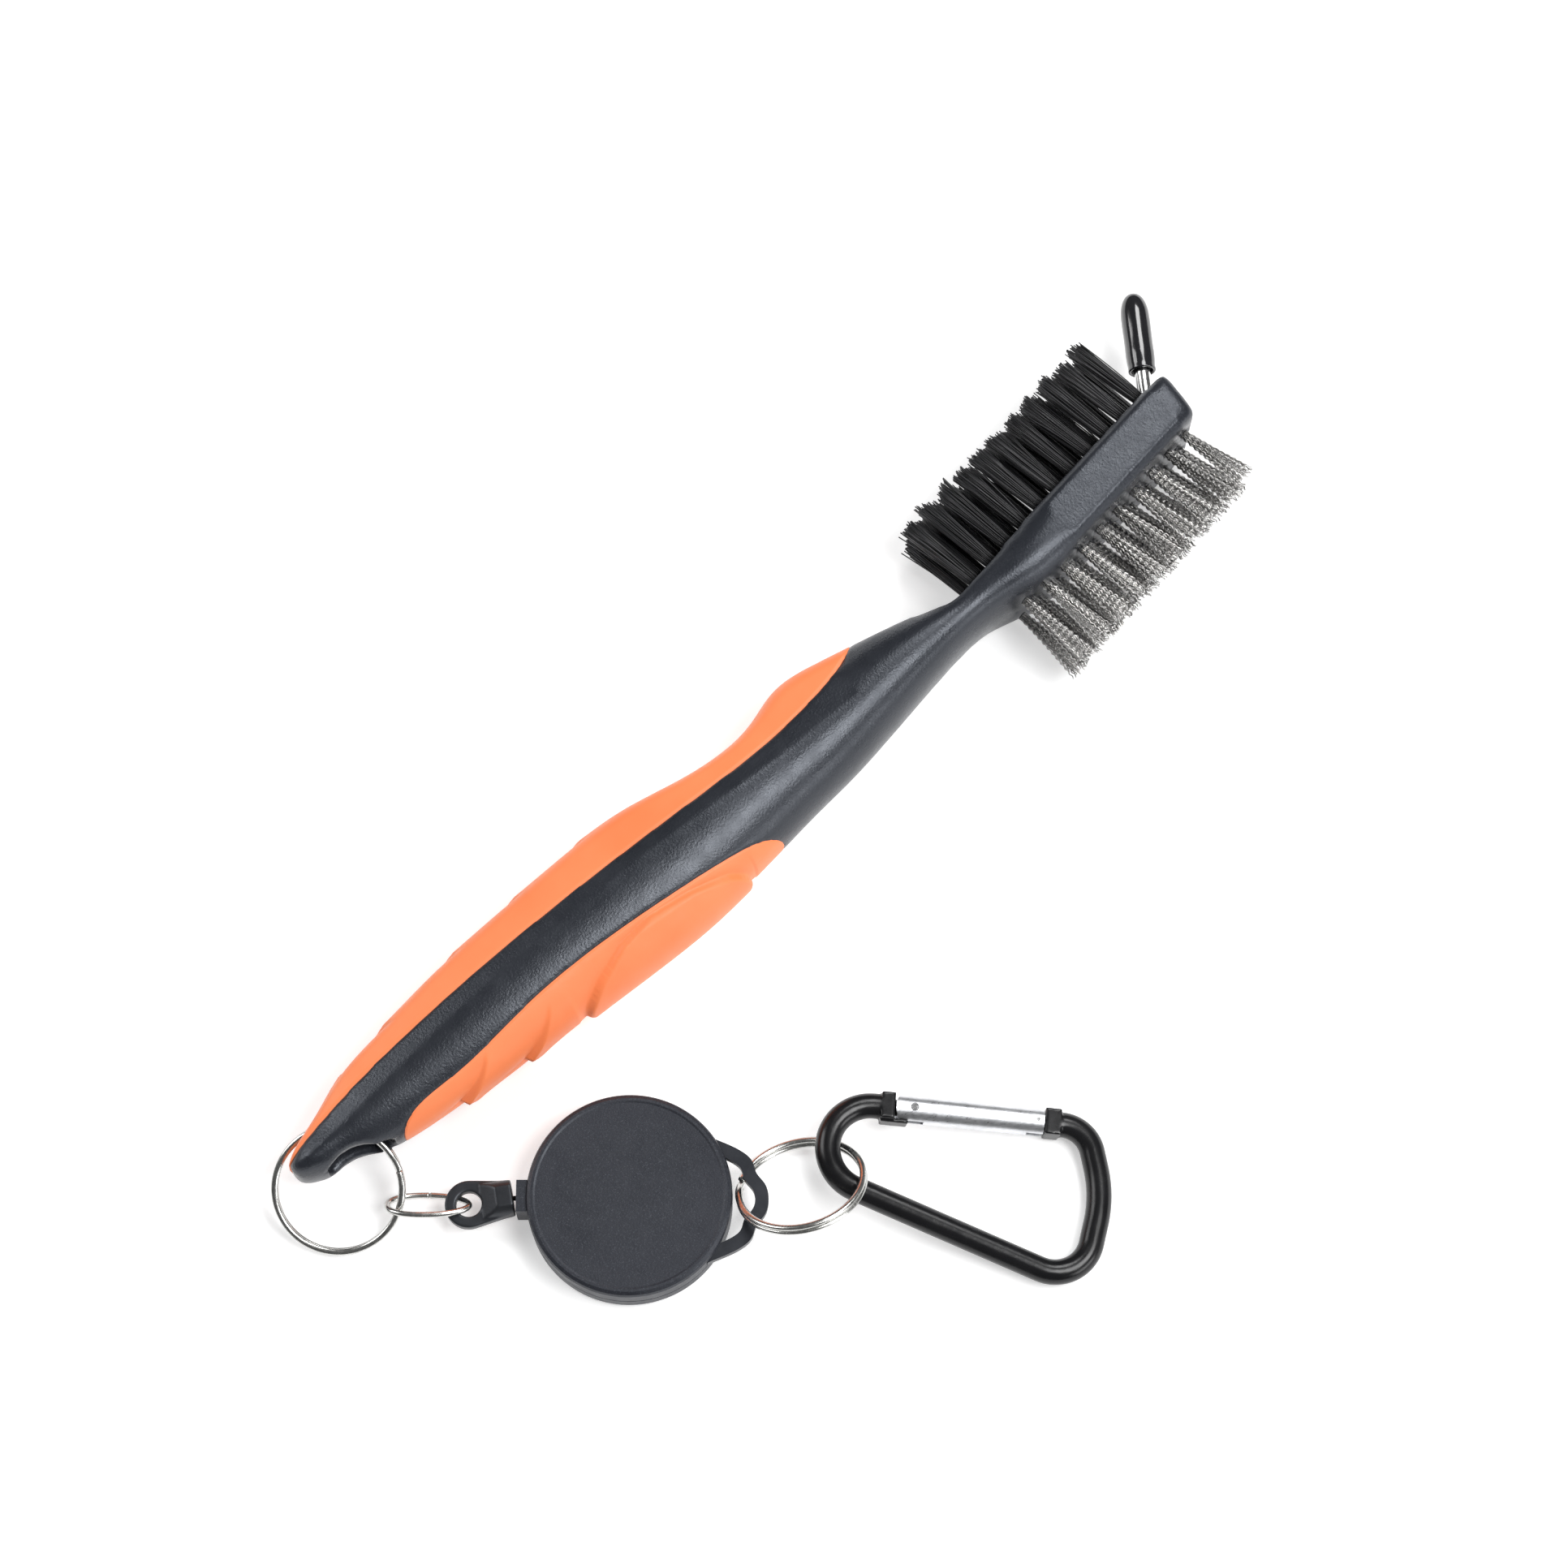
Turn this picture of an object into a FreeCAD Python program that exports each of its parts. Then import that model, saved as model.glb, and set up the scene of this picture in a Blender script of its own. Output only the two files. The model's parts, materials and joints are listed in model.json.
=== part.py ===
import FreeCAD, Part
import math
import os

# Club groove brush with a retractable lanyard reel and a carabiner, lying on its side.
# Millimetres. X runs along the brush from the lanyard end to the head, Y points to the nylon
# side, Z points up from the surface that the brush lies on. The lanyard chain (rings, link,
# reel, carabiner) is drawn in its own plan axes (u along the chain, w across it), turned
# about Z from the brush. The finished model is moved so that its box stands on the origin.

V = FreeCAD.Vector

# ---- brush ----
MID_Z = 9.5                 # mid-plane of the brush, half its width
GRIP_THICKNESS = 2.0        # overmould on the handle
# stations of the handle: x, back, crease, front (all y), half width in z
HANDLE_STATIONS = [
    (0.0, -0.4, -1.5, -2.5, 3.2),
    (0.5, 0.0, -1.55, -3.2, 4.0),
    (2.0, 0.85, -1.8, -4.3, 5.0),
    (7.0, 2.6, -2.0, -6.0, 5.7),
    (14.0, 5.0, -1.8, -8.2, 6.4),
    (24.0, 6.6, -1.2, -10.0, 7.3),
    (36.0, 7.9, -0.8, -11.7, 8.3),
    (50.0, 8.5, -0.8, -12.8, 9.0),
    (64.0, 8.7, -1.2, -13.8, 9.4),
    (76.0, 8.0, -1.9, -14.2, 9.5),
    (86.0, 5.7, -2.6, -13.6, 9.3),
    (94.0, 4.6, -3.2, -12.9, 8.9),
    (101.0, 5.2, -3.7, -12.3, 8.5),
    (107.5, 6.9, -4.0, -11.9, 8.3),
    (116.0, 5.8, -4.2, -10.9, 8.2),
    (124.0, 3.6, -4.2, -9.7, 8.3),
    (132.0, 1.0, -4.1, -8.5, 8.7),
    (140.0, -2.1, -4.2, -7.8, 9.2),
    (148.0, -3.3, -4.8, -7.8, 9.3),
]
BACK_SEAM = [(-1.0, -0.6), (12.0, 1.5), (28.0, 2.4), (44.0, 2.4), (60.0, 1.8), (76.0, 0.9),
             (92.0, 0.0), (104.0, 0.0), (114.0, 1.1), (120.0, 2.8), (124.5, 6.5)]
FRONT_SEAM = [(14.5, -10.5), (17.0, -8.4), (28.0, -7.6), (44.0, -7.1), (58.0, -7.5),
              (72.0, -9.0), (84.0, -10.6), (90.0, -12.0), (94.0, -14.5)]

# head: a flat bevelled bar, in its own plan axes (s along the head, n towards the nylon)
HEAD_ORIGIN = (150.0, -5.4)
HEAD_ANGLE = 6.3            # degrees from X
HEAD_HALF = 4.5             # half thickness, from tuft face to tuft face
HEAD_WIDTH = 2 * MID_Z
HEAD_BEVEL = 1.2
HEAD_TIP_S = 42.6
HEAD_TIP_SLANT = 2.2

# lanyard end
SLOT_X = (4.3, 15.0)
SLOT_HEIGHT = 5.0
SCALLOP_CENTRE = (7.0, -11.5)
SCALLOP_RADIUS = 6.9

# tufts
ROW_PITCH = 3.35            # between the three rows, in z
HOLE_DEPTH = 3.4
ANCHOR_DEPTH = 0.7
NYLON_LENGTH = 14.4
NYLON_ROOT_R = 1.0
NYLON_TIP_R = 1.4
NYLON_PITCH = 4.28
NYLON_FIRST_S = -4.9
NYLON_COUNT = 11
NYLON_MIDDLE_COUNT = 9
WIRE_LENGTH = 12.4
WIRE_ROOT_R = 0.75
WIRE_TIP_R = 1.6
WIRE_PITCH = 4.43
WIRE_FIRST_S = -2.0
WIRE_COUNT = 10
WIRE_FAN = 3.5              # degrees that the end tufts lean outwards

# pick
PICK_ROOT = (189.05, 3.8)   # where its axis leaves the nylon face
PICK_ANGLE = 52.5           # degrees from X
PICK_R = 1.35
PICK_DEPTH = 6.0
PICK_LENGTH = 16.5
PICK_POINT = 4.0
CAP_START = 5.4
CAP_LENGTH = 14.4
CAP_R = 2.4
CAP_STRAIGHT = 11.2
CAP_END_R = 1.4
CAP_RIM = 0.1
CAP_RIM_LENGTH = 0.9
CAP_BORE_CLEARANCE = 0.05

# ---- lanyard chain, in u, w ----
CHAIN_ANGLE = -42.5         # degrees from X to u
RING_WIRE_R = 0.5
RING_COIL_OFFSET = 0.45     # each of the two coils stands off the ring's mid-plane by this
KEY_RING_R = 9.9
KEY_RING_CENTRE = (7.42, -2.26, 5.5)
KEY_RING_TILT = 25.0
KEY_RING_RISE = 90.0
LINK_WIRE_R = 0.5
LINK_HALF_LENGTH = 6.4
LINK_HALF_WIDTH = 2.6
LINK_TILT = 45.0
CORD_R = 0.4
CORD_Z = 4.0
EYE_CENTRE = (27.65, -4.48)
EYE_ANGLE = 9.5
EYE_R = 3.75
EYE_HOLE_R = 2.0
EYE_THICKNESS = 2.0
SLEEVE_END = 6.9            # from the eye to the open end of the sleeve
SLEEVE_HALF = 2.6
KNOT_X = 2.5                # from the eye to the stop on the cord
KNOT_R = 1.0
KNOT_LENGTH = 1.7

REEL_CENTRE = (52.66, -3.65)
REEL_R = 16.0
REEL_THICKNESS = 8.0
REEL_WALL = 1.0
REEL_FLOOR = 1.2
REEL_SPLIT_Z = 4.0
NOZZLE_U = 35.1
NOZZLE_HALF = 2.5
NOZZLE_Z = (1.0, 7.0)
NOZZLE_BORE_R = 0.6
POST_R = 1.65
SPOOL_R = 14.2
SPOOL_Z = (1.7, 5.9)
SPOOL_FLANGE = 0.6
SPOOL_DRUM_R = 10.0
SPOOL_DRUM_WALL = 0.8
SPOOL_CLEARANCE = 0.08
WINDING_R = 11.3
SPRING_TURNS = 5
SPRING_STRIP = 0.3
BAIL_Z = (5.15, 6.75)
BAIL_BAR = 2.1
BAIL_OFFSET = 0.5           # the loop sits a little to one side of the reel's axis
# one half of the loop's centre line: u, distance from its axis
BAIL_PATH = [(64.4, 9.1), (67.1, 7.9), (69.4, 6.75), (70.85, 5.35), (71.4, 3.7), (72.65, 2.1), (73.2, 0.0)]

SMALL_RING_R = 9.85
SMALL_RING_CENTRE = (79.3, -2.05, 7.05)
SMALL_RING_TILT = 36.0
SMALL_RING_RISE = -70.0      # plan direction, from u, in which the tilted ring climbs

BAR_R = 2.0                 # carabiner bar
GATE_LINE = ((92.1, 10.85), (119.5, 8.75))
CARABINER_CORNERS = [       # u, w, bend radius
    (83.2, 11.53, 6.9),
    (83.2, -0.52, 6.9),
    (122.7, -17.07, 6.1),
    (126.3, -2.5, 20.0),
    (124.2, 8.39, 5.2),
]
CARABINER_LIFT = 4.2       # the ring holds the bar's near end off the surface
CARABINER_FAR_U = 124.6
GATE_R = 2.15
GATE_BORE_R = 1.5
GATE_LENGTH = 23.4
RIVET_FROM_END = 2.9
RIVET_R = 0.6
HINGE_END_R = 2.95          # the gate's hinge end is trimmed round to swing clear of the block
BLOCK_LENGTH = 2.2
BLOCK_HALF = 2.1
TONGUE_THICKNESS = 1.3
GATE_GAP = 0.15


# ---- helpers ----
def spline(points):
    curve = Part.BSplineCurve()
    curve.interpolate(points)
    return curve.toShape()


def polygon(points):
    return Part.Wire(Part.makePolygon(points + [points[0]]).Edges)


def box(low, high):
    return Part.makeBox(high[0] - low[0], high[1] - low[1], high[2] - low[2], V(*low))


def rounded_path(points, radii):
    """Open path of straight runs joined by tangent arcs; radii belong to the inner points."""
    edges = []
    start = points[0]
    for before, corner, after, radius in zip(points, points[1:], points[2:], radii):
        into = (corner - before).normalize()
        out = (after - corner).normalize()
        turn = into.getAngle(out)
        reach = radius * math.tan(turn / 2)
        arc_start = corner - into * reach
        arc_end = corner + out * reach
        inward = (out - into).normalize()
        centre = corner + inward * (radius / math.cos(turn / 2))
        middle = centre - inward * radius
        if (arc_start - start).Length > 1e-4:
            edges.append(Part.LineSegment(start, arc_start).toShape())
        edges.append(Part.Arc(arc_start, middle, arc_end).toShape())
        start = arc_end
    edges.append(Part.LineSegment(start, points[-1]).toShape())
    return Part.Wire(edges)


def tube_along(path, radius):
    first = path.Edges[0]
    start = first.valueAt(first.FirstParameter)
    along = first.tangentAt(first.FirstParameter)
    profile = Part.Wire(Part.makeCircle(radius, start, along))
    return path.makePipeShell([profile], True, False)


def revolve(points, centre):
    """Closed profile of (radius, z) turned about a vertical axis."""
    profile = Part.Face(polygon([V(centre[0] + r, centre[1], z) for r, z in points]))
    return profile.revolve(V(centre[0], centre[1], 0), V(0, 0, 1), 360)


def fused(shapes):
    return shapes[0].multiFuse(shapes[1:]).removeSplitter()


def chain_placed(shape):
    """From the chain's u, w axes to the brush's x, y axes."""
    placed = shape.copy()
    placed.rotate(V(0, 0, 0), V(0, 0, 1), CHAIN_ANGLE)
    return placed


def head_point(s, n, z):
    angle = math.radians(HEAD_ANGLE)
    x = HEAD_ORIGIN[0] + s * math.cos(angle) - n * math.sin(angle)
    y = HEAD_ORIGIN[1] + s * math.sin(angle) + n * math.cos(angle)
    return V(x, y, z)


# ---- handle ----
def bezier(poles):
    curve = Part.BezierCurve()
    curve.setPoles(poles)
    return curve.toShape()


def handle_section(x, back, crease, front, half, inset):
    """Section of the handle: round back, flat facet up to the crease, full round front."""
    half = half - 0.6 * inset
    back = back - inset
    front = front + inset
    facet_y = back - 0.28 * (back - crease)
    facet_z = 0.80 * half
    back_corner_z = facet_z - (half - facet_z) * 0.28 / 0.72
    belly_y = crease - 0.5 * (crease - front)

    def quarter(mirror):
        def at(y, z):
            return V(x, y, MID_Z + mirror * z)
        return [
            bezier([at(back, 0), at(back, back_corner_z), at(facet_y, facet_z)]),
            Part.LineSegment(at(facet_y, facet_z), at(crease, half)).toShape(),
            bezier([at(crease, half), at(belly_y, 0.99 * half), at(front, 0.66 * half), at(front, 0)]),
        ]
    return Part.Wire(quarter(1) + quarter(-1)[::-1])


def handle_body(inset_limit=0.0):
    wires = []
    for x, back, crease, front, half in HANDLE_STATIONS:
        inset = min(inset_limit, 0.5 + 0.12 * x) if inset_limit else 0.0
        wires.append(handle_section(x, back, crease, front, half, inset))
    return Part.makeLoft(wires, True, False)


def seam_prism(seam, outside_y):
    """Everything on one side of a seam that is drawn in plan."""
    curve = spline([V(x, y, -5) for x, y in seam])
    first = V(seam[0][0], seam[0][1], -5)
    last = V(seam[-1][0], seam[-1][1], -5)
    far_last = V(seam[-1][0], outside_y, -5)
    far_first = V(seam[0][0], outside_y, -5)
    rest = Part.makePolygon([last, far_last, far_first, first])
    face = Part.Face(Part.Wire([curve] + rest.Edges))
    return face.extrude(V(0, 0, 30))


def stacked(rims):
    """Solid with flat sides between rims of equal point count, given from the bottom up."""
    faces = [Part.Face(polygon(rims[0])), Part.Face(polygon(rims[-1]))]
    for low, high in zip(rims[:-1], rims[1:]):
        for a, b, c, d in zip(low, low[1:] + low[:1], high[1:] + high[:1], high):
            faces.append(Part.Face(polygon([a, b, c, d])))
    solid = Part.makeSolid(Part.makeShell(faces))
    if solid.Volume < 0:
        solid.reverse()
    return solid


def inset_outline(points, distance):
    """The same outline with each side moved inwards; points run clockwise seen from above."""
    moved = []
    for before, point, after in zip(points[-1:] + points[:-1], points, points[1:] + points[:1]):
        into = (point - before).normalize()
        out = (after - point).normalize()
        inward_in = V(into.y, -into.x, 0)
        inward_out = V(out.y, -out.x, 0)
        bisector = (inward_in + inward_out).normalize()
        moved.append(point + bisector * (distance / bisector.dot(inward_in)))
    return moved


def head_bar():
    """Straight bar with bevelled rims, its tip cut at a slant and its tongue on the neck."""
    outline = [
        head_point(-9.5, 0.8, 0),
        head_point(-9.0, HEAD_HALF, 0),
        head_point(HEAD_TIP_S, HEAD_HALF, 0),
        head_point(HEAD_TIP_S - HEAD_TIP_SLANT, -HEAD_HALF, 0),
        head_point(3.0, -HEAD_HALF, 0),
        head_point(-1.4, -3.4, 0),
        head_point(-6.2, -1.1, 0),
    ]
    narrow = inset_outline(outline, HEAD_BEVEL)
    layers = ((narrow, 0.0), (outline, HEAD_BEVEL), (outline, HEAD_WIDTH - HEAD_BEVEL), (narrow, HEAD_WIDTH))
    return stacked([[p + V(0, 0, z) for p in points] for points, z in layers])


def lanyard_slot():
    low = MID_Z - SLOT_HEIGHT / 2
    high = MID_Z + SLOT_HEIGHT / 2
    slot = box((SLOT_X[0], -12, low), (SLOT_X[1], 10, high))
    across = [e for e in slot.Edges if e.BoundBox.YLength > 20]
    slot = slot.makeFillet(1.2, across)
    scallop = Part.makeCylinder(SCALLOP_RADIUS, 30, V(SCALLOP_CENTRE[0], SCALLOP_CENTRE[1], -5))
    return slot.fuse(scallop)


# ---- tufts ----
def tuft_places(first_s, pitch, count, row):
    """Places along one row, as s along the head and the height of the row."""
    z = MID_Z + row * ROW_PITCH
    shift = 0.0 if row else pitch / 2
    return [(first_s + shift + pitch * i, z) for i in range(count)]


def nylon_places(row):
    count = NYLON_COUNT if row else NYLON_MIDDLE_COUNT
    return tuft_places(NYLON_FIRST_S, NYLON_PITCH, count, row)


def wire_places(row):
    count = WIRE_COUNT if row else WIRE_COUNT - 1
    return tuft_places(WIRE_FIRST_S, WIRE_PITCH, count, row)


def wire_lean(s):
    middle = WIRE_FIRST_S + WIRE_PITCH * (WIRE_COUNT - 1) / 2
    return WIRE_FAN * (s - middle) / (WIRE_PITCH * (WIRE_COUNT - 1) / 2)


def tuft(s, z, side, root_r, tip_r, length, lean):
    """A tuft in its hole: a cylinder in the head, and outside it a cone that may lean along the head."""
    face = head_point(s, side * HEAD_HALF, z)
    bottom = head_point(s, side * (HEAD_HALF - HOLE_DEPTH + ANCHOR_DEPTH), z)
    tip = head_point(s + length * math.tan(math.radians(lean)), side * (HEAD_HALF + length), z)
    outwards = (face - bottom).normalize()
    rims = [Part.Wire(Part.makeCircle(radius, centre, outwards))
            for radius, centre in ((root_r, bottom), (root_r, face), (tip_r, tip))]
    return Part.makeLoft(rims, True, True)


def tuft_row(places, side, root_r, tip_r, length, leaning):
    return Part.makeCompound([
        tuft(s, z, side, root_r, tip_r, length, wire_lean(s) if leaning else 0.0)
        for s, z in places
    ])


def tuft_holes(places, side, root_r):
    holes = []
    for s, z in places:
        bottom = head_point(s, side * (HEAD_HALF - HOLE_DEPTH), z)
        outwards = (head_point(s, side * HEAD_HALF, z) - bottom).normalize()
        holes.append(Part.makeCylinder(root_r, HOLE_DEPTH, bottom, outwards))
    return holes


def anchors(places, side, root_r):
    """Flat staples across the bottom of the tuft holes."""
    half = 0.8 * root_r
    pieces = []
    for s, z in places:
        near = side * (HEAD_HALF - HOLE_DEPTH + 0.05)
        far = side * (HEAD_HALF - HOLE_DEPTH + ANCHOR_DEPTH)
        corners = [head_point(s - half, near, z - 0.2), head_point(s + half, near, z - 0.2),
                   head_point(s + half, far, z - 0.2), head_point(s - half, far, z - 0.2)]
        pieces.append(Part.Face(polygon(corners)).extrude(V(0, 0, 0.4)))
    return Part.makeCompound(pieces)


# ---- pick ----
def pick_axis():
    angle = math.radians(PICK_ANGLE)
    return V(math.cos(angle), math.sin(angle), 0)


def pick_point(distance):
    return V(PICK_ROOT[0], PICK_ROOT[1], MID_Z) + pick_axis() * distance


def groove_pick():
    shaft = Part.makeCylinder(PICK_R, PICK_DEPTH + PICK_LENGTH - PICK_POINT,
                              pick_point(-PICK_DEPTH), pick_axis())
    point = Part.makeCone(PICK_R, 0.25, PICK_POINT, pick_point(PICK_LENGTH - PICK_POINT), pick_axis())
    return shaft.fuse(point).removeSplitter()


def pick_cap():
    """Dipped cap: rolled rim at its mouth, straight wall, shoulder and round end."""
    rim = Part.makeCylinder(CAP_R + CAP_RIM, CAP_RIM_LENGTH, pick_point(CAP_START), pick_axis())
    body = Part.makeCylinder(CAP_R, CAP_STRAIGHT, pick_point(CAP_START), pick_axis())
    shoulder = Part.makeCone(CAP_R, CAP_END_R, CAP_LENGTH - CAP_STRAIGHT - CAP_END_R,
                             pick_point(CAP_START + CAP_STRAIGHT), pick_axis())
    end = Part.makeSphere(CAP_END_R, pick_point(CAP_START + CAP_LENGTH - CAP_END_R))
    bore_r = PICK_R + CAP_BORE_CLEARANCE
    bore = Part.makeCylinder(bore_r, PICK_LENGTH - PICK_POINT - CAP_START,
                             pick_point(CAP_START), pick_axis())
    tip = Part.makeCone(bore_r, 0.35, PICK_POINT, pick_point(PICK_LENGTH - PICK_POINT), pick_axis())
    return fused([rim, body, shoulder, end]).cut(bore).cut(tip)


# ---- rings and link ----
def split_ring(radius, centre, tilt, rise):
    """Two coils of wire that lie on each other, climbing towards the plan direction rise."""
    slope = math.radians(tilt)
    towards = math.radians(rise)
    normal = V(-math.sin(slope) * math.cos(towards), -math.sin(slope) * math.sin(towards), math.cos(slope))
    middle = V(*centre)
    coils = [Part.makeTorus(radius, RING_WIRE_R, middle + normal * (side * RING_COIL_OFFSET), normal)
             for side in (-1, 1)]
    return coils[0].fuse(coils[1])


def wire_link():
    """Oval link, level along u and tilted about its long axis."""
    half_run = LINK_HALF_LENGTH - LINK_HALF_WIDTH
    left = V(-half_run, 0, 0)
    right = V(half_run, 0, 0)
    across = V(0, LINK_HALF_WIDTH, 0)
    along = V(LINK_HALF_WIDTH, 0, 0)
    runs = [
        Part.LineSegment(left + across, right + across).toShape(),
        Part.Arc(right + across, right + along, right - across).toShape(),
        Part.LineSegment(right - across, left - across).toShape(),
        Part.Arc(left - across, left - along, left + across).toShape(),
    ]
    pieces = []
    for edge in runs:
        start = edge.valueAt(edge.FirstParameter)
        along_wire = edge.tangentAt(edge.FirstParameter)
        profile = Part.Face(Part.Wire(Part.makeCircle(LINK_WIRE_R, start, along_wire)))
        if edge.Curve.TypeId == "Part::GeomCircle":
            centre = edge.Curve.Center
            pieces.append(profile.revolve(centre, edge.Curve.Axis, 180))
        else:
            pieces.append(profile.extrude(edge.valueAt(edge.LastParameter) - start))
    link = fused(pieces)
    link.rotate(V(0, 0, 0), V(1, 0, 0), -LINK_TILT)
    link.translate(V(EYE_CENTRE[0] + 0.05 - LINK_HALF_LENGTH, EYE_CENTRE[1], CORD_Z))
    return link


# ---- cord end ----
def eye_placed(shape):
    placed = shape.copy()
    placed.rotate(V(0, 0, 0), V(0, 0, 1), EYE_ANGLE)
    placed.translate(V(EYE_CENTRE[0], EYE_CENTRE[1], CORD_Z))
    return placed


def cord_end():
    """Flat eye that grows into a round sleeve, drawn with the eye on the origin."""
    half_turn = math.acos((EYE_R - SLEEVE_HALF) / SLEEVE_END)
    shoulder = V(EYE_R * math.cos(half_turn), EYE_R * math.sin(half_turn), -5)
    lower = V(shoulder.x, -shoulder.y, -5)
    plan = Part.Wire([
        Part.Arc(shoulder, V(-EYE_R, 0, -5), lower).toShape(),
        Part.LineSegment(lower, V(SLEEVE_END, -SLEEVE_HALF, -5)).toShape(),
        Part.LineSegment(V(SLEEVE_END, -SLEEVE_HALF, -5), V(SLEEVE_END, SLEEVE_HALF, -5)).toShape(),
        Part.LineSegment(V(SLEEVE_END, SLEEVE_HALF, -5), shoulder).toShape(),
    ])
    plan_block = Part.Face(plan).extrude(V(0, 0, 10))
    half = EYE_THICKNESS / 2
    side = [(-5, -half), (1.9, -half), (4.4, -SLEEVE_HALF), (9, -SLEEVE_HALF),
            (9, SLEEVE_HALF), (4.4, SLEEVE_HALF), (1.9, half), (-5, half)]
    side_block = Part.Face(polygon([V(x, -6, z) for x, z in side])).extrude(V(0, 12, 0))
    round_bar = Part.makeCylinder(SLEEVE_HALF * 1.16, 20, V(-8, 0, 0), V(1, 0, 0))
    flat = box((-8, -6, -half), (SLEEVE_END + 1, 6, half))
    body = plan_block.common(side_block).common(round_bar.fuse(flat))
    hole = Part.makeCylinder(EYE_HOLE_R, 8, V(0, 0, -4))
    cavity = Part.makeCylinder(KNOT_R + 0.1, 2.4, V(2.3, 0, 0), V(1, 0, 0))
    bore = Part.makeCylinder(CORD_R + 0.1, 6, V(4.0, 0, 0), V(1, 0, 0))
    return eye_placed(body.cut(hole).cut(cavity).cut(bore))


def cord_knot():
    """The crimped stop on the cord, held inside the sleeve."""
    return eye_placed(Part.makeCylinder(KNOT_R, KNOT_LENGTH, V(KNOT_X, 0, 0), V(1, 0, 0)))


def eye_point(x):
    angle = math.radians(EYE_ANGLE)
    return V(EYE_CENTRE[0] + x * math.cos(angle), EYE_CENTRE[1] + x * math.sin(angle), CORD_Z)


def cord_strand():
    """From the stop through the nozzle to where the cord meets the winding."""
    start = eye_point(KNOT_X + KNOT_LENGTH)
    sleeve_mouth = eye_point(SLEEVE_END + 0.2)
    nozzle = V(37.4, REEL_CENTRE[1], CORD_Z)
    meet_r = WINDING_R + CORD_R + 0.05
    away = REEL_CENTRE[0] - nozzle.x
    angle = math.acos(meet_r / away)
    meet = V(REEL_CENTRE[0] - meet_r * math.cos(angle), REEL_CENTRE[1] + meet_r * math.sin(angle), CORD_Z)
    path = rounded_path([start, sleeve_mouth, nozzle, meet], [2.5, 2.5])
    return tube_along(path, CORD_R)


# ---- reel ----
def reel_half(front):
    """One dished shell with its half of the nozzle."""
    corner = 1.2
    if front:
        outer = [(0, 7.75), (12.0, 7.82), (14.6, 7.88), (14.9, 8.0), (15.3, 8.0), (15.8, 7.7),
                 (16.0, 7.2), (16.0, 4.3), (15.75, REEL_SPLIT_Z), (REEL_R - REEL_WALL, REEL_SPLIT_Z),
                 (REEL_R - REEL_WALL, 6.6), (0, 6.6)]
        z_low, z_high = REEL_SPLIT_Z, NOZZLE_Z[1]
    else:
        outer = [(0, 0), (REEL_R - corner, 0), (15.6, 0.35), (15.95, corner), (15.95, 3.7),
                 (15.7, REEL_SPLIT_Z), (REEL_R - REEL_WALL, REEL_SPLIT_Z),
                 (REEL_R - REEL_WALL, REEL_FLOOR), (0, REEL_FLOOR)]
        z_low, z_high = NOZZLE_Z[0], REEL_SPLIT_Z
    shell = revolve(outer, REEL_CENTRE)
    nozzle = box((NOZZLE_U, REEL_CENTRE[1] - NOZZLE_HALF, z_low),
                 (REEL_CENTRE[0] - REEL_R + 1.2, REEL_CENTRE[1] + NOZZLE_HALF, z_high))
    cavity = Part.makeCylinder(REEL_R - REEL_WALL, 20, V(REEL_CENTRE[0], REEL_CENTRE[1], -5))
    bore = Part.makeCylinder(NOZZLE_BORE_R, 4, V(NOZZLE_U - 1, REEL_CENTRE[1], CORD_Z), V(1, 0, 0))
    outer_mouth = Part.makeCone(1.1, NOZZLE_BORE_R, 1.0, V(NOZZLE_U, REEL_CENTRE[1], CORD_Z), V(1, 0, 0))
    inner_mouth = Part.makeCone(NOZZLE_BORE_R, 2.2, 1.8,
                                V(NOZZLE_U + 1.0, REEL_CENTRE[1], CORD_Z), V(1, 0, 0))
    shell = shell.fuse(nozzle.cut(cavity)).cut(bore).cut(outer_mouth).cut(inner_mouth)
    return shell.removeSplitter()


def case_back():
    post = Part.makeCylinder(POST_R, 6.6 - REEL_FLOOR, V(REEL_CENTRE[0], REEL_CENTRE[1], REEL_FLOOR))
    return reel_half(False).fuse(post).removeSplitter()


def case_front():
    return reel_half(True).cut(bail())


def bail():
    """Loop of flat bar with a waist each side of its nose, keyed through the wall of the front shell."""
    axis_w = REEL_CENTRE[1] - BAIL_OFFSET
    half = [V(u, axis_w + w, BAIL_Z[0]) for u, w in BAIL_PATH]
    mirrored = [V(u, axis_w - w, BAIL_Z[0]) for u, w in BAIL_PATH[:-1]]
    path = half + mirrored[::-1]
    outer = []
    inner = []
    for before, point, after in zip(path[:1] + path[:-1], path, path[1:] + path[-1:]):
        along = (after - before).normalize()
        outwards = V(-along.y, along.x, 0) * (BAIL_BAR / 2)
        outer.append(point + outwards)
        inner.append(point - outwards)
    outline = Part.Wire([
        spline(outer),
        Part.LineSegment(outer[-1], inner[-1]).toShape(),
        spline(inner),
        Part.LineSegment(inner[0], outer[0]).toShape(),
    ])
    loop = Part.Face(outline).extrude(V(0, 0, BAIL_Z[1] - BAIL_Z[0]))
    inside = Part.makeCylinder(REEL_R - REEL_WALL - 0.3, 20, V(REEL_CENTRE[0], REEL_CENTRE[1], -5))
    return loop.cut(inside)


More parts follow.
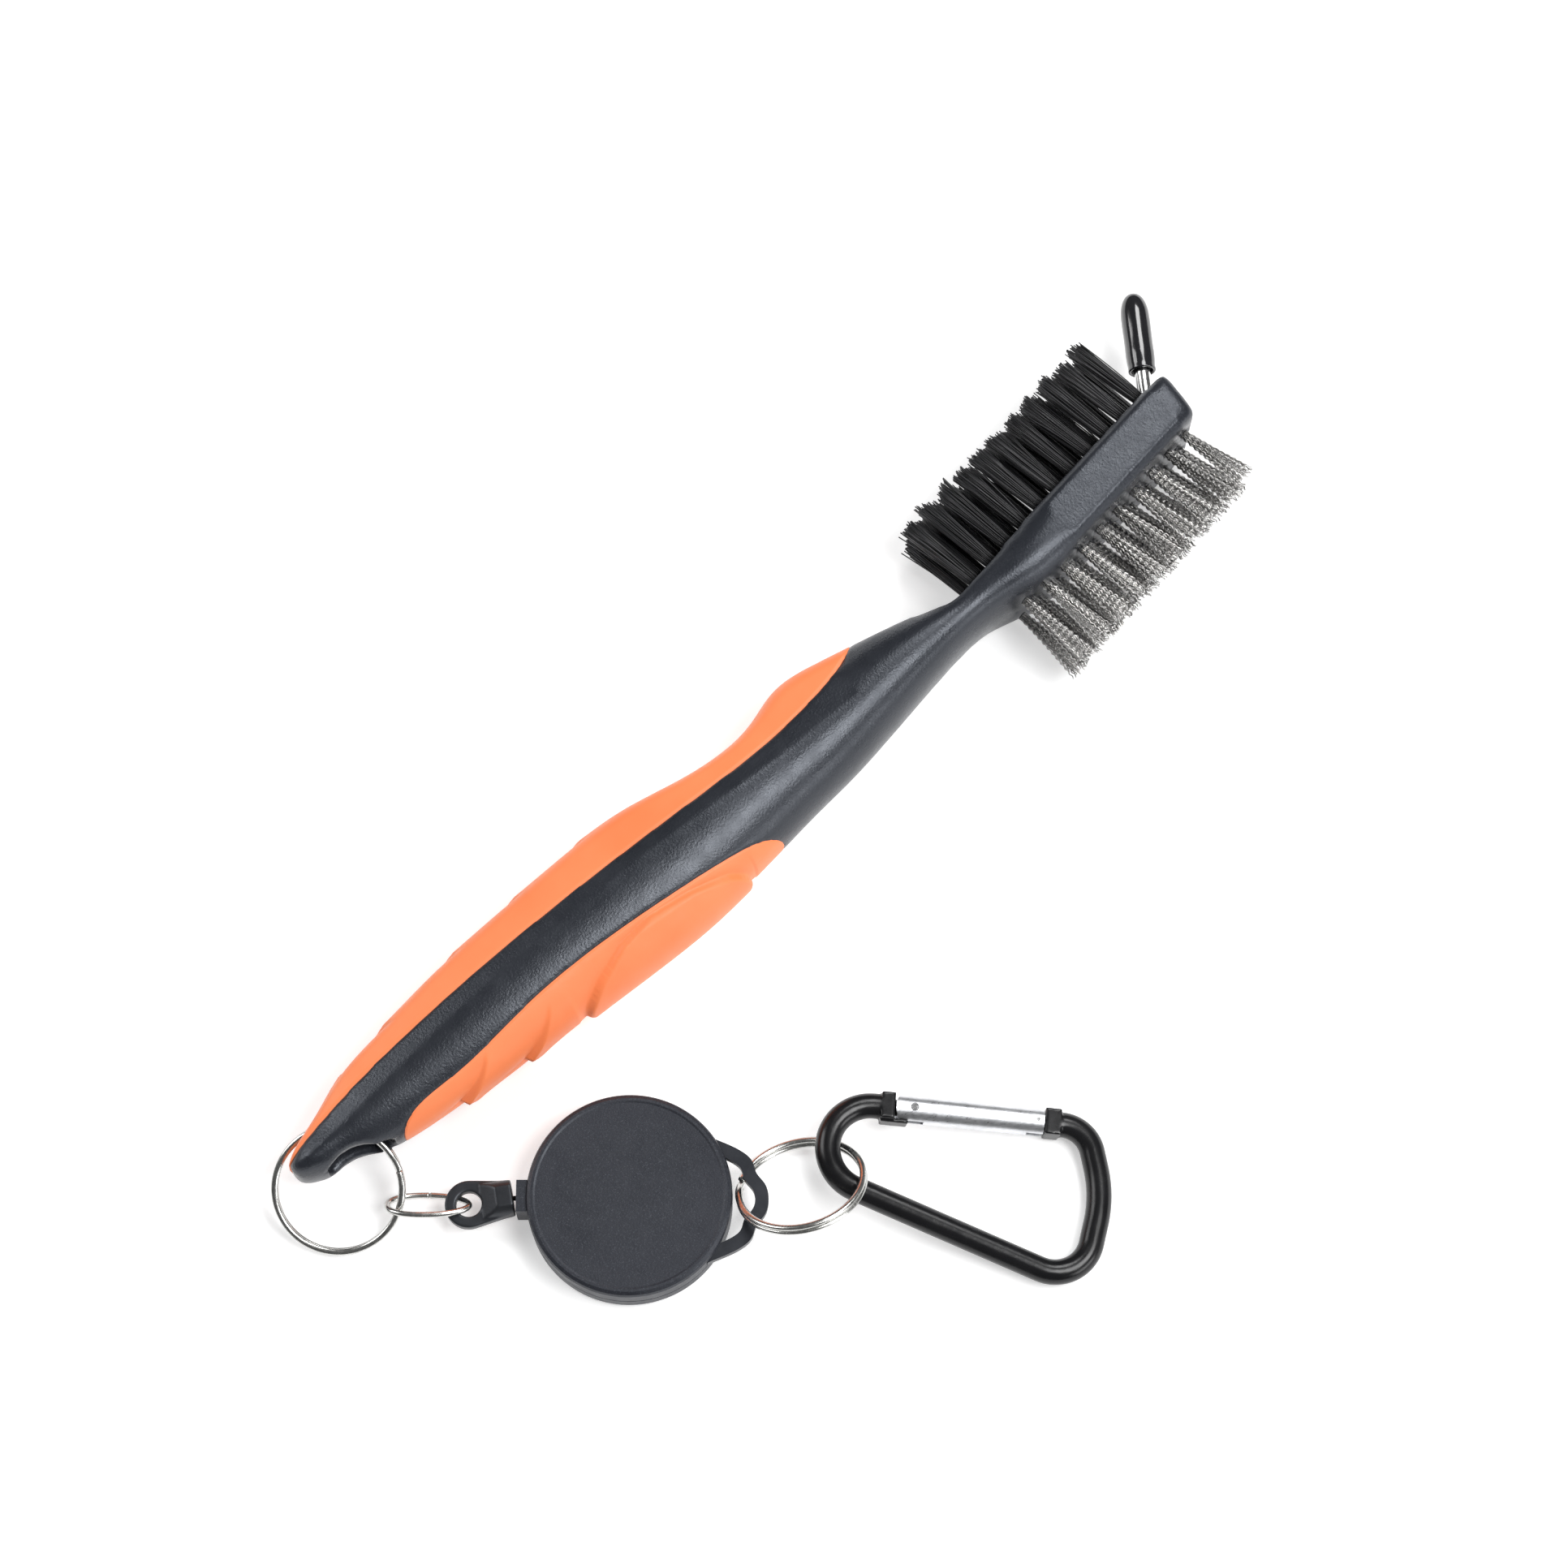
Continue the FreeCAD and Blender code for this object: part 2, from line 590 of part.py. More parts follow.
def spool():
    """Cord drum with two flanges, a web and a hub, open at the front for the spring."""
    low, high = SPOOL_Z
    bore = POST_R + SPOOL_CLEARANCE
    drum_in = SPOOL_DRUM_R - SPOOL_DRUM_WALL
    profile = [(bore, low), (SPOOL_R, low), (SPOOL_R, low + SPOOL_FLANGE),
               (SPOOL_DRUM_R, low + SPOOL_FLANGE), (SPOOL_DRUM_R, high - SPOOL_FLANGE),
               (SPOOL_R, high - SPOOL_FLANGE), (SPOOL_R, high), (drum_in, high),
               (drum_in, low + SPOOL_FLANGE), (2.6, low + SPOOL_FLANGE), (2.6, low + 1.2),
               (bore, low + 1.2)]
    return revolve(profile, REEL_CENTRE)


def cord_winding():
    low = SPOOL_Z[0] + SPOOL_FLANGE
    high = SPOOL_Z[1] - SPOOL_FLANGE
    profile = [(SPOOL_DRUM_R, low), (WINDING_R, low), (WINDING_R, high), (SPOOL_DRUM_R, high)]
    return revolve(profile, REEL_CENTRE)


def power_spring():
    """Clock spring: a flat strip in an open spiral from the post to the drum."""
    low = SPOOL_Z[0] + 1.4
    first = POST_R + 0.05
    last = SPOOL_DRUM_R - SPOOL_DRUM_WALL - SPRING_STRIP - 0.1
    steps_per_turn = 8
    steps = SPRING_TURNS * steps_per_turn

    def spiral(offset):
        points = []
        for i in range(steps + 1):
            angle = 2 * math.pi * i / steps_per_turn
            radius = first + offset + (last - first) * i / steps
            points.append(V(REEL_CENTRE[0] + radius * math.cos(angle),
                            REEL_CENTRE[1] + radius * math.sin(angle), low))
        return points

    inner = spiral(0.0)
    outer = spiral(SPRING_STRIP)
    outline = Part.Wire([
        spline(inner),
        Part.LineSegment(inner[-1], outer[-1]).toShape(),
        spline(outer),
        Part.LineSegment(outer[0], inner[0]).toShape(),
    ])
    return Part.Face(outline).extrude(V(0, 0, 2.4))


# ---- carabiner, drawn flat about z = 0 and then tilted on to the ring ----
def carabiner_placed(shape):
    placed = shape.copy()
    reach = CARABINER_FAR_U - CARABINER_CORNERS[0][0]
    placed.rotate(V(CARABINER_FAR_U, 0, 0), V(0, 1, 0), math.degrees(math.atan2(CARABINER_LIFT, reach)))
    placed.translate(V(0, 0, BAR_R + 0.2))
    return placed


def gate_frame():
    start = V(GATE_LINE[0][0], GATE_LINE[0][1], 0)
    end = V(GATE_LINE[1][0], GATE_LINE[1][1], 0)
    along = (end - start).normalize()
    return start, along, V(-along.y, along.x, 0)


def gate_placed(shape):
    """From gate axes, x along the gate from its hinge end, to the chain's plan."""
    start, along, _ = gate_frame()
    placed = shape.copy()
    placed.rotate(V(0, 0, 0), V(0, 0, 1), math.degrees(math.atan2(along.y, along.x)))
    placed.translate(start)
    return placed


def carabiner_body():
    corners = [V(u, w, 0) for u, w, _ in CARABINER_CORNERS]
    start, along, _ = gate_frame()
    end = V(GATE_LINE[1][0], GATE_LINE[1][1], 0)
    path = rounded_path([start] + corners + [end], [radius for _, _, radius in CARABINER_CORNERS])
    bar = tube_along(path, BAR_R)
    span = (end - start).Length
    gate_start = BLOCK_LENGTH - 0.6 + GATE_GAP
    hinge_block = box((-0.6, -BLOCK_HALF, -BAR_R), (BLOCK_LENGTH - 0.6, BLOCK_HALF, BAR_R))
    stop_lip = box((-0.6, -BLOCK_HALF - 0.5, -1.4), (BLOCK_LENGTH + 1.6, -BLOCK_HALF + 0.1, 1.4))
    half = TONGUE_THICKNESS / 2
    tongue = box((BLOCK_LENGTH - 1.0, -1.2, -half), (gate_start + RIVET_FROM_END, 1.2, half))
    tongue_end = Part.makeCylinder(1.2, TONGUE_THICKNESS, V(gate_start + RIVET_FROM_END, 0, -half))
    nose_start = gate_start + GATE_LENGTH + GATE_GAP
    nose_block = box((nose_start, -BLOCK_HALF, -BAR_R), (span + 0.4, BLOCK_HALF, BAR_R))
    tenon = box((nose_start - 2.2, -1.0, -half), (nose_start + 0.5, 1.0, half))
    rivet_hole = Part.makeCylinder(RIVET_R, 10, V(gate_start + RIVET_FROM_END, 0, -5))
    notch = box((nose_start - 1.6, -3, -half - 1), (nose_start - 0.7, 0.35, half + 1))
    ends = [gate_placed(s) for s in (hinge_block, stop_lip, tongue, tongue_end, nose_block)]
    tenon = gate_placed(tenon.cut(notch))
    body = fused([bar] + ends + [tenon]).cut(gate_placed(rivet_hole))
    return carabiner_placed(body)


def carabiner_gate():
    gate_start = BLOCK_LENGTH - 0.6 + GATE_GAP
    tube = Part.makeCylinder(GATE_R, GATE_LENGTH, V(gate_start, 0, 0), V(1, 0, 0))
    bore = Part.makeCylinder(GATE_BORE_R, GATE_LENGTH + 2, V(gate_start - 1, 0, 0), V(1, 0, 0))
    half = TONGUE_THICKNESS / 2 + 0.1
    hinge_slot = box((gate_start - 1, -3, -half), (gate_start + RIVET_FROM_END + 1.6, 3, half))
    nose_slot = box((gate_start + GATE_LENGTH - 2.6, -3, -half), (gate_start + GATE_LENGTH + 1, 3, half))
    rivet_hole = Part.makeCylinder(RIVET_R + 0.05, 10, V(gate_start + RIVET_FROM_END, 0, -5))
    latch_hole = Part.makeCylinder(0.3, 10, V(latch_x(), 0, -5))
    rivet_x = gate_start + RIVET_FROM_END
    swept_end = Part.makeCylinder(HINGE_END_R, 10, V(rivet_x, 0, -5))
    hinge_corners = box((gate_start - 1, -3, -3), (rivet_x, 3, 3)).cut(swept_end)
    gate = tube.cut(bore).cut(hinge_corners).cut(hinge_slot).cut(nose_slot).cut(rivet_hole).cut(latch_hole)
    return carabiner_placed(gate_placed(gate))


def latch_x():
    gate_start = BLOCK_LENGTH - 0.6 + GATE_GAP
    return gate_start + GATE_LENGTH + GATE_GAP - 1.15


def gate_rivet():
    gate_start = BLOCK_LENGTH - 0.6 + GATE_GAP
    pin = Part.makeCylinder(RIVET_R, 2 * GATE_R + 0.2, V(gate_start + RIVET_FROM_END, 0, -GATE_R - 0.1))
    return carabiner_placed(gate_placed(pin))


def latch_pin():
    pin = Part.makeCylinder(0.3, 2 * GATE_R - 0.1, V(latch_x(), 0, -GATE_R + 0.05))
    return carabiner_placed(gate_placed(pin))


def gate_plunger():
    gate_start = BLOCK_LENGTH - 0.6 + GATE_GAP
    x = gate_start + RIVET_FROM_END + 1.35
    head = Part.makeCylinder(GATE_BORE_R - 0.1, 1.2, V(x + 0.5, 0, 0), V(1, 0, 0))
    stem = Part.makeCylinder(0.5, 3.0, V(x + 1.7, 0, 0), V(1, 0, 0))
    return carabiner_placed(gate_placed(head.fuse(stem).removeSplitter()))


def gate_spring():
    """Small compression spring behind the plunger, as closely wound as it is when shut."""
    gate_start = BLOCK_LENGTH - 0.6 + GATE_GAP
    x = gate_start + RIVET_FROM_END + 3.3
    pitch = 0.9
    turns = 9
    wire_r = 0.2
    helix = Part.makeHelix(pitch, pitch * turns, 1.0)
    profile = Part.Wire(Part.makeCircle(wire_r, V(1.0, 0, 0), V(0, 1, pitch / (2 * math.pi))))
    coil = Part.Wire(helix.Edges).makePipeShell([profile], True, True)
    coil.rotate(V(0, 0, 0), V(0, 1, 0), 90)
    coil.translate(V(x, 0, 0))
    return carabiner_placed(gate_placed(coil))


# ---- the whole ----
def brush_nodes():
    full = handle_body()
    inner = handle_body(GRIP_THICKNESS)
    back_grip = full.common(seam_prism(BACK_SEAM, 20)).cut(inner)
    front_grip = full.common(seam_prism(FRONT_SEAM, -25)).cut(inner)
    core = full.cut(back_grip).cut(front_grip).fuse(head_bar())
    opening = lanyard_slot()
    holes = []
    nodes = {}
    for name, row in (("top", 1), ("middle", 0), ("bottom", -1)):
        nodes["nylon_row_" + name] = tuft_row(nylon_places(row), 1, NYLON_ROOT_R, NYLON_TIP_R,
                                              NYLON_LENGTH, False)
        nodes["wire_row_" + name] = tuft_row(wire_places(row), -1, WIRE_ROOT_R, WIRE_TIP_R,
                                             WIRE_LENGTH, True)
        holes += tuft_holes(nylon_places(row), 1, NYLON_ROOT_R)
        holes += tuft_holes(wire_places(row), -1, WIRE_ROOT_R)
    socket = Part.makeCylinder(PICK_R, PICK_DEPTH + 5, pick_point(-PICK_DEPTH), pick_axis())
    core = core.cut(opening).cut(Part.makeCompound(holes)).cut(socket)
    nodes["handle_core"] = core
    nodes["grip_back"] = back_grip.cut(opening)
    nodes["grip_front"] = front_grip.cut(opening)
    nodes["nylon_anchors"] = anchors(nylon_places(1) + nylon_places(0) + nylon_places(-1), 1, NYLON_ROOT_R)
    nodes["wire_anchors"] = anchors(wire_places(1) + wire_places(0) + wire_places(-1), -1, WIRE_ROOT_R)
    nodes["groove_pick"] = groove_pick()
    nodes["pick_cap"] = pick_cap()
    return nodes


def chain_nodes():
    makers = {
        "key_ring": lambda: split_ring(KEY_RING_R, KEY_RING_CENTRE, KEY_RING_TILT, KEY_RING_RISE),
        "wire_link": wire_link,
        "cord_end": cord_end,
        "cord_knot": cord_knot,
        "cord_strand": cord_strand,
        "case_front": case_front,
        "case_back": case_back,
        "bail": bail,
        "spool": spool,
        "cord_winding": cord_winding,
        "power_spring": power_spring,
        "small_ring": lambda: split_ring(SMALL_RING_R, SMALL_RING_CENTRE, SMALL_RING_TILT, SMALL_RING_RISE),
        "carabiner_body": carabiner_body,
        "carabiner_gate": carabiner_gate,
        "gate_rivet": gate_rivet,
        "latch_pin": latch_pin,
        "gate_plunger": gate_plunger,
        "gate_spring": gate_spring,
    }
    return {name: chain_placed(make()) for name, make in makers.items()}


nodes = brush_nodes()
nodes.update(chain_nodes())
whole = Part.makeCompound(list(nodes.values())).optimalBoundingBox()
shift = V(-whole.Center.x, -whole.Center.y, -whole.ZMin)

os.makedirs("parts", exist_ok=True)
for name, shape in nodes.items():
    shape.translate(shift)
    shape.exportStep("parts/" + name + ".step")
    print(name, "solids", len(shape.Solids), "valid", shape.isValid(), "volume", round(shape.Volume, 1))
print("shift", shift)
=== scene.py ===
import bpy
import bmesh
import json
import math
import numpy as np
from mathutils import Matrix, Vector
from mathutils.bvhtree import BVHTree


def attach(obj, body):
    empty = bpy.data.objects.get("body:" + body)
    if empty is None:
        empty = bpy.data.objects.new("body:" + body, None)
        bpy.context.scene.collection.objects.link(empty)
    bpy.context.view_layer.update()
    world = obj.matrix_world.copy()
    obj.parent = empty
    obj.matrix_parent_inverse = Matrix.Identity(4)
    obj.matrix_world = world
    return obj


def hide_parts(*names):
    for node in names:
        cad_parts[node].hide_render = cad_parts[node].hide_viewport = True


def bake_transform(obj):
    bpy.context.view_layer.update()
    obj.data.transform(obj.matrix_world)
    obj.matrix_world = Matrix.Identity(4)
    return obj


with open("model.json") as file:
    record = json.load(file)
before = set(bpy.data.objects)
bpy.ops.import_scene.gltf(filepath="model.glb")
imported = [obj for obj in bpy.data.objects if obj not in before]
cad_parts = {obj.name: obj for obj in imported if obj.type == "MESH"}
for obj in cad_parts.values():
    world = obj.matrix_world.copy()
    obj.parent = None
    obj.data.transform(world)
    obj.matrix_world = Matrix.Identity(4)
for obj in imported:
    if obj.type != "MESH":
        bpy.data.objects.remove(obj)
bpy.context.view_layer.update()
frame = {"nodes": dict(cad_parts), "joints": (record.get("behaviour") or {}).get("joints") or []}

# Looks for the club groove brush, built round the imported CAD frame. Lengths in this file are in
# millimetres and go through brush(), chain() or head_array(), which give metres in the row frame.
# Only the floor, the lights and the camera are placed in metres.

MM = 0.001
JOINTS = {j["name"]: j for j in frame["joints"]}
SWING_AT = (9.5, -1.5, 9.5)         # the large ring's swing axis, on the brush
ORIGIN = Vector([row - at * MM for row, at in zip(JOINTS["key_ring_swing"]["pos_m"], SWING_AT)])
CHAIN_TURN = math.radians(-42.5)
HEAD_ORIGIN = (150.0, -5.4)         # on the brush, where the head's own axes start
HEAD_TURN = math.radians(6.3)
MID_Z = 9.5
rng = np.random.default_rng(7)


# ---- places ----
def brush(x, y, z):
    """A place given along the brush, towards the nylon, and up."""
    return ORIGIN + Vector((x, y, z)) * MM


def chain(u, w, z):
    """A place given along the lanyard chain, across it, and up."""
    c, s = math.cos(CHAIN_TURN), math.sin(CHAIN_TURN)
    return brush(u * c - w * s, u * s + w * c, z)


def chain_turn():
    """Turns directions in u, w, z into the brush's axes."""
    c, s = math.cos(CHAIN_TURN), math.sin(CHAIN_TURN)
    return np.array([[c, -s, 0], [s, c, 0], [0, 0, 1]])


def head_array(s, n, z):
    """Places given along the head, across it towards the nylon, and up."""
    c, k = math.cos(HEAD_TURN), math.sin(HEAD_TURN)
    x = HEAD_ORIGIN[0] + s * c - n * k
    y = HEAD_ORIGIN[1] + s * k + n * c
    return np.stack([x, y, z], -1) * MM + np.array(ORIGIN)


# ---- node materials ----
def new_material(name):
    material = bpy.data.materials.new(name)
    material.use_nodes = True
    nodes = material.node_tree.nodes
    return material, nodes, material.node_tree.links, nodes["Principled BSDF"]


def noise(nodes, links, scale, detail=4.0, roughness=0.5, stretch=None):
    """Noise fixed to the object, about 1/scale metres fine; stretch is (scale, rotation) put before it."""
    where = nodes.new("ShaderNodeTexCoord")
    texture = nodes.new("ShaderNodeTexNoise")
    texture.inputs["Scale"].default_value = scale
    texture.inputs["Detail"].default_value = detail
    texture.inputs["Roughness"].default_value = roughness
    if stretch:
        mapping = nodes.new("ShaderNodeMapping")
        mapping.inputs["Scale"].default_value = stretch[0]
        mapping.inputs["Rotation"].default_value = stretch[1]
        links.new(where.outputs["Object"], mapping.inputs["Vector"])
        links.new(mapping.outputs["Vector"], texture.inputs["Vector"])
    else:
        links.new(where.outputs["Object"], texture.inputs["Vector"])
    return texture.outputs["Fac"]


def ramp(nodes, links, source, low, high, spread=(0.3, 0.7)):
    """Colour or grey between low and high as source goes across spread."""
    mix = nodes.new("ShaderNodeMapRange")
    mix.inputs["From Min"].default_value = spread[0]
    mix.inputs["From Max"].default_value = spread[1]
    links.new(source, mix.inputs["Value"])
    if isinstance(low, (int, float)):
        mix.inputs["To Min"].default_value = low
        mix.inputs["To Max"].default_value = high
        return mix.outputs["Result"]
    colour = nodes.new("ShaderNodeMix")
    colour.data_type = "RGBA"
    colour.inputs["A"].default_value = (*low, 1.0)
    colour.inputs["B"].default_value = (*high, 1.0)
    links.new(mix.outputs["Result"], colour.inputs["Factor"])
    return colour.outputs["Result"]


def add_bump(nodes, links, shader, source, strength, distance):
    """Adds a bump of distance mm on top of any that the shader has."""
    bump = nodes.new("ShaderNodeBump")
    bump.inputs["Strength"].default_value = strength
    bump.inputs["Distance"].default_value = distance * MM
    links.new(source, bump.inputs["Height"])
    previous = shader.inputs["Normal"].links
    if previous:
        links.new(previous[0].from_socket, bump.inputs["Normal"])
    links.new(bump.outputs["Normal"], shader.inputs["Normal"])


def tones(nodes, links, dark, light, scale, detail, roughness, by_filament):
    """Colour between dark and light, drifting over the surface or with a tone for each filament."""
    if by_filament:
        own_tone = nodes.new("ShaderNodeNewGeometry").outputs["Random Per Island"]
        return ramp(nodes, links, own_tone, dark, light, (0.0, 1.0))
    return ramp(nodes, links, noise(nodes, links, scale, detail, roughness), dark, light)


def plastic(name, dark, light, rough, grain, grain_depth, coat=0.0, sheen=0.0, speckle=None,
            tint=(1.0, 1.0, 1.0), specular=0.5, by_filament=False):
    """Moulded plastic or rubber: slow colour drift, uneven gloss and a fine surface grain.

    speckle is (scale, colour) of fine pale dots in the surface.
    """
    material, nodes, links, shader = new_material(name)
    colour = tones(nodes, links, dark, light, 90.0, 3.0, 0.5, by_filament)
    if speckle:
        dots = noise(nodes, links, speckle[0], 2.0, 0.6)
        share = ramp(nodes, links, dots, 0.0, 1.0, (0.56, 0.70))
        mix = nodes.new("ShaderNodeMix")
        mix.data_type = "RGBA"
        links.new(share, mix.inputs["Factor"])
        links.new(colour, mix.inputs["A"])
        mix.inputs["B"].default_value = (*speckle[1], 1.0)
        colour = mix.outputs["Result"]
    links.new(colour, shader.inputs["Base Color"])
    uneven = noise(nodes, links, 400.0, 4.0)
    links.new(ramp(nodes, links, uneven, rough - 0.05, rough + 0.05), shader.inputs["Roughness"])
    shader.inputs["Coat Weight"].default_value = coat
    shader.inputs["Coat Roughness"].default_value = 0.08
    shader.inputs["Specular Tint"].default_value = (*tint, 1.0)
    shader.inputs["Specular IOR Level"].default_value = specular
    shader.inputs["Sheen Weight"].default_value = sheen
    shader.inputs["Sheen Roughness"].default_value = 0.4
    add_bump(nodes, links, shader, noise(nodes, links, grain, 3.0, 0.6), 0.6, grain_depth)
    return material


def metal(name, dark, light, rough, brushed=None, spread=0.05, by_filament=False):
    """Bare metal with faint handling marks; brushed is (scale, rotation) of its long scratches."""
    material, nodes, links, shader = new_material(name)
    colour = tones(nodes, links, dark, light, 350.0, 5.0, 0.6, by_filament)
    links.new(colour, shader.inputs["Base Color"])
    shader.inputs["Metallic"].default_value = 1.0
    if brushed:
        scratches = noise(nodes, links, 1.0, 3.0, 0.6, brushed)
        add_bump(nodes, links, shader, scratches, 0.6, 0.03)
    else:
        scratches = noise(nodes, links, 1500.0, 3.0)
        add_bump(nodes, links, shader, noise(nodes, links, 900.0, 3.0), 0.15, 0.01)
    links.new(ramp(nodes, links, scratches, rough - spread, rough + spread), shader.inputs["Roughness"])
    return material


CHAIN_EULER = (0.0, 0.0, -CHAIN_TURN)
COOL = (0.86, 0.91, 1.0)
core_black = plastic("core_black", (0.016, 0.018, 0.023), (0.022, 0.024, 0.030), 0.29, 2600.0, 0.09,
                     tint=COOL)
grip_orange = plastic("grip_orange", (0.92, 0.225, 0.072), (0.97, 0.255, 0.090), 0.50, 3200.0, 0.02,
                      sheen=0.08)
nylon_black = plastic("nylon_black", (0.005, 0.005, 0.006), (0.045, 0.045, 0.048), 0.38, 3000.0, 0.005,
                      by_filament=True)
cap_vinyl = plastic("cap_vinyl", (0.010, 0.010, 0.012), (0.013, 0.013, 0.015), 0.16, 700.0, 0.01, coat=0.8)
tab_black = plastic("tab_black", (0.013, 0.014, 0.016), (0.018, 0.019, 0.022), 0.38, 3000.0, 0.02, tint=COOL)
cord_black = plastic("cord_black", (0.008, 0.008, 0.010), (0.022, 0.022, 0.026), 0.75, 2500.0, 0.06,
                     sheen=0.3)
reel_black = plastic("reel_black", (0.013, 0.014, 0.019), (0.018, 0.019, 0.025), 0.46, 2300.0, 0.05,
                     speckle=(5200.0, (0.046, 0.050, 0.060)), tint=COOL)
bail_black = plastic("bail_black", (0.011, 0.012, 0.015), (0.016, 0.017, 0.021), 0.36, 1800.0, 0.01,
                     tint=COOL)
spool_grey = plastic("spool_grey", (0.30, 0.30, 0.31), (0.36, 0.36, 0.37), 0.45, 2000.0, 0.01)
carabiner_black = plastic("carabiner_black", (0.007, 0.007, 0.008), (0.010, 0.010, 0.011), 0.24, 900.0, 0.004,
                          specular=0.34)
steel_wire = metal("steel_wire", (0.24, 0.235, 0.23), (0.92, 0.91, 0.89), 0.24, by_filament=True)
anchor_steel = metal("anchor_steel", (0.45, 0.45, 0.45), (0.6, 0.6, 0.6), 0.35)
pick_steel = metal("pick_steel", (0.70, 0.70, 0.70), (0.85, 0.85, 0.85), 0.20)
ring_chrome = metal("ring_chrome", (0.54, 0.54, 0.52), (0.70, 0.70, 0.68), 0.25, spread=0.04)
spring_steel = metal("spring_steel", (0.30, 0.31, 0.34), (0.42, 0.43, 0.46), 0.28)
gate_silver = metal("gate_silver", (0.60, 0.61, 0.63), (0.86, 0.87, 0.90), 0.36,
                    brushed=((900.0, 5200.0, 5200.0), CHAIN_EULER), spread=0.10)
rivet_steel = metal("rivet_steel", (0.75, 0.75, 0.76), (0.90, 0.90, 0.90), 0.16)

NODE_MATERIALS = {
    "handle_core": core_black, "grip_back": grip_orange, "grip_front": grip_orange,
    "nylon_row_top": nylon_black, "nylon_row_middle": nylon_black, "nylon_row_bottom": nylon_black,
    "wire_row_top": steel_wire, "wire_row_middle": steel_wire, "wire_row_bottom": steel_wire,
    "nylon_anchors": anchor_steel, "wire_anchors": anchor_steel, "groove_pick": pick_steel,
    "pick_cap": cap_vinyl, "key_ring": ring_chrome, "wire_link": ring_chrome, "cord_end": tab_black,
    "cord_knot": cord_black, "cord_strand": cord_black, "case_front": reel_black,
    "case_back": reel_black, "bail": bail_black, "spool": spool_grey, "cord_winding": cord_black,
    "power_spring": spring_steel, "small_ring": ring_chrome, "carabiner_body": carabiner_black,
    "carabiner_gate": gate_silver, "gate_rivet": rivet_steel, "latch_pin": rivet_steel,
    "gate_plunger": rivet_steel, "gate_spring": spring_steel,
}
for node_name, material in NODE_MATERIALS.items():
    mesh = frame["nodes"][node_name].data
    mesh.materials.clear()
    mesh.materials.append(material)


# ---- meshes ----
def mesh_object(name, points, faces, material, smooth=True):
    """A new object in the scene from points in metres."""
    mesh = bpy.data.meshes.new(name)
    mesh.from_pydata([tuple(p) for p in points], [], faces)
    mesh.materials.append(material)
    mesh.polygons.foreach_set("use_smooth", [smooth] * len(mesh.polygons))
    mesh.update()
    piece = bpy.data.objects.new(name, mesh)
    bpy.context.scene.collection.objects.link(piece)
    return piece


def rims(paths, sides):
    """Unit spokes round each step of paths, whose last axes are (step, 3); adds an axis of sides."""
    along = np.gradient(paths, axis=-2)
    along /= np.linalg.norm(along, axis=-1, keepdims=True)
    up = np.broadcast_to(np.array([0.0, 0.0, 1.0]), along.shape)
    across = np.cross(along, up)
    across /= np.linalg.norm(across, axis=-1, keepdims=True)
    up = np.cross(across, along)
    turn = np.linspace(0, 2 * np.pi, sides, endpoint=False)[:, None]
    return across[..., None, :] * np.cos(turn) + up[..., None, :] * np.sin(turn)


def fibres(name, paths, radius, sides, material):
    """Many tubes as one mesh. paths is (fibre, step, 3) in metres, and radius is in metres."""
    count, steps, _ = paths.shape
    points = (paths[:, :, None] + rims(paths, sides) * radius).reshape(-1, 3)
    fibre, step, side = np.meshgrid(np.arange(count), np.arange(steps - 1), np.arange(sides), indexing="ij")
    base = (fibre * steps + step) * sides
    nxt = (side + 1) % sides
    quads = np.stack([base + side, base + sides + side, base + sides + nxt, base + nxt], -1).reshape(-1, 4)
    faces = [tuple(q) for q in quads.tolist()]
    for i in range(count):
        first = i * steps * sides
        last = first + (steps - 1) * sides
        faces.append(tuple(range(first, first + sides)))
        faces.append(tuple(range(last + sides - 1, last - 1, -1)))
    return mesh_object(name, points, faces, material)


GOLDEN_ANGLE = 2.399963


def packed_circle(count):
    """Places inside a unit circle on a sunflower spiral."""
    i = np.arange(count) + 0.5
    radius = np.sqrt(i / count)
    angle = i * GOLDEN_ANGLE
    return radius * np.cos(angle), radius * np.sin(angle)


def evaluated(piece):
    """Applies the modifiers of a piece."""
    bpy.context.view_layer.update()
    graph = bpy.context.evaluated_depsgraph_get()
    piece.data = bpy.data.meshes.new_from_object(piece.evaluated_get(graph))
    piece.modifiers.clear()


def softened(name, node, body, voxel, passes, more=()):
    """A node's shape remeshed and relaxed, which rounds its edges.

    more has ((low, high), passes) for stretches of the brush that are relaxed further.
    """
    piece = bpy.data.objects.new(name, frame["nodes"][node].data.copy())
    bpy.context.scene.collection.objects.link(piece)
    remesh = piece.modifiers.new("remesh", "REMESH")
    remesh.mode = "VOXEL"
    remesh.voxel_size = voxel * MM
    evaluated(piece)
    bm = bmesh.new()
    bm.from_mesh(piece.data)
    regions = [(list(bm.verts), passes)]
    for (x_low, x_high), extra in more:
        low, high = brush(x_low, 0, 0).x, brush(x_high, 0, 0).x
        regions.append(([v for v in bm.verts if low < v.co.x < high], extra))
    for verts, count in regions:
        for _ in range(count):
            bmesh.ops.smooth_vert(bm, verts=verts, factor=0.5,
                                  use_axis_x=True, use_axis_y=True, use_axis_z=True)
    for face in bm.faces:
        face.smooth = True
    bm.to_mesh(piece.data)
    bm.free()
    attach(piece, body)
    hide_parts(node)
    return piece


NORMAL_FADE = 4.0           # over which the blurring of normals starts and stops


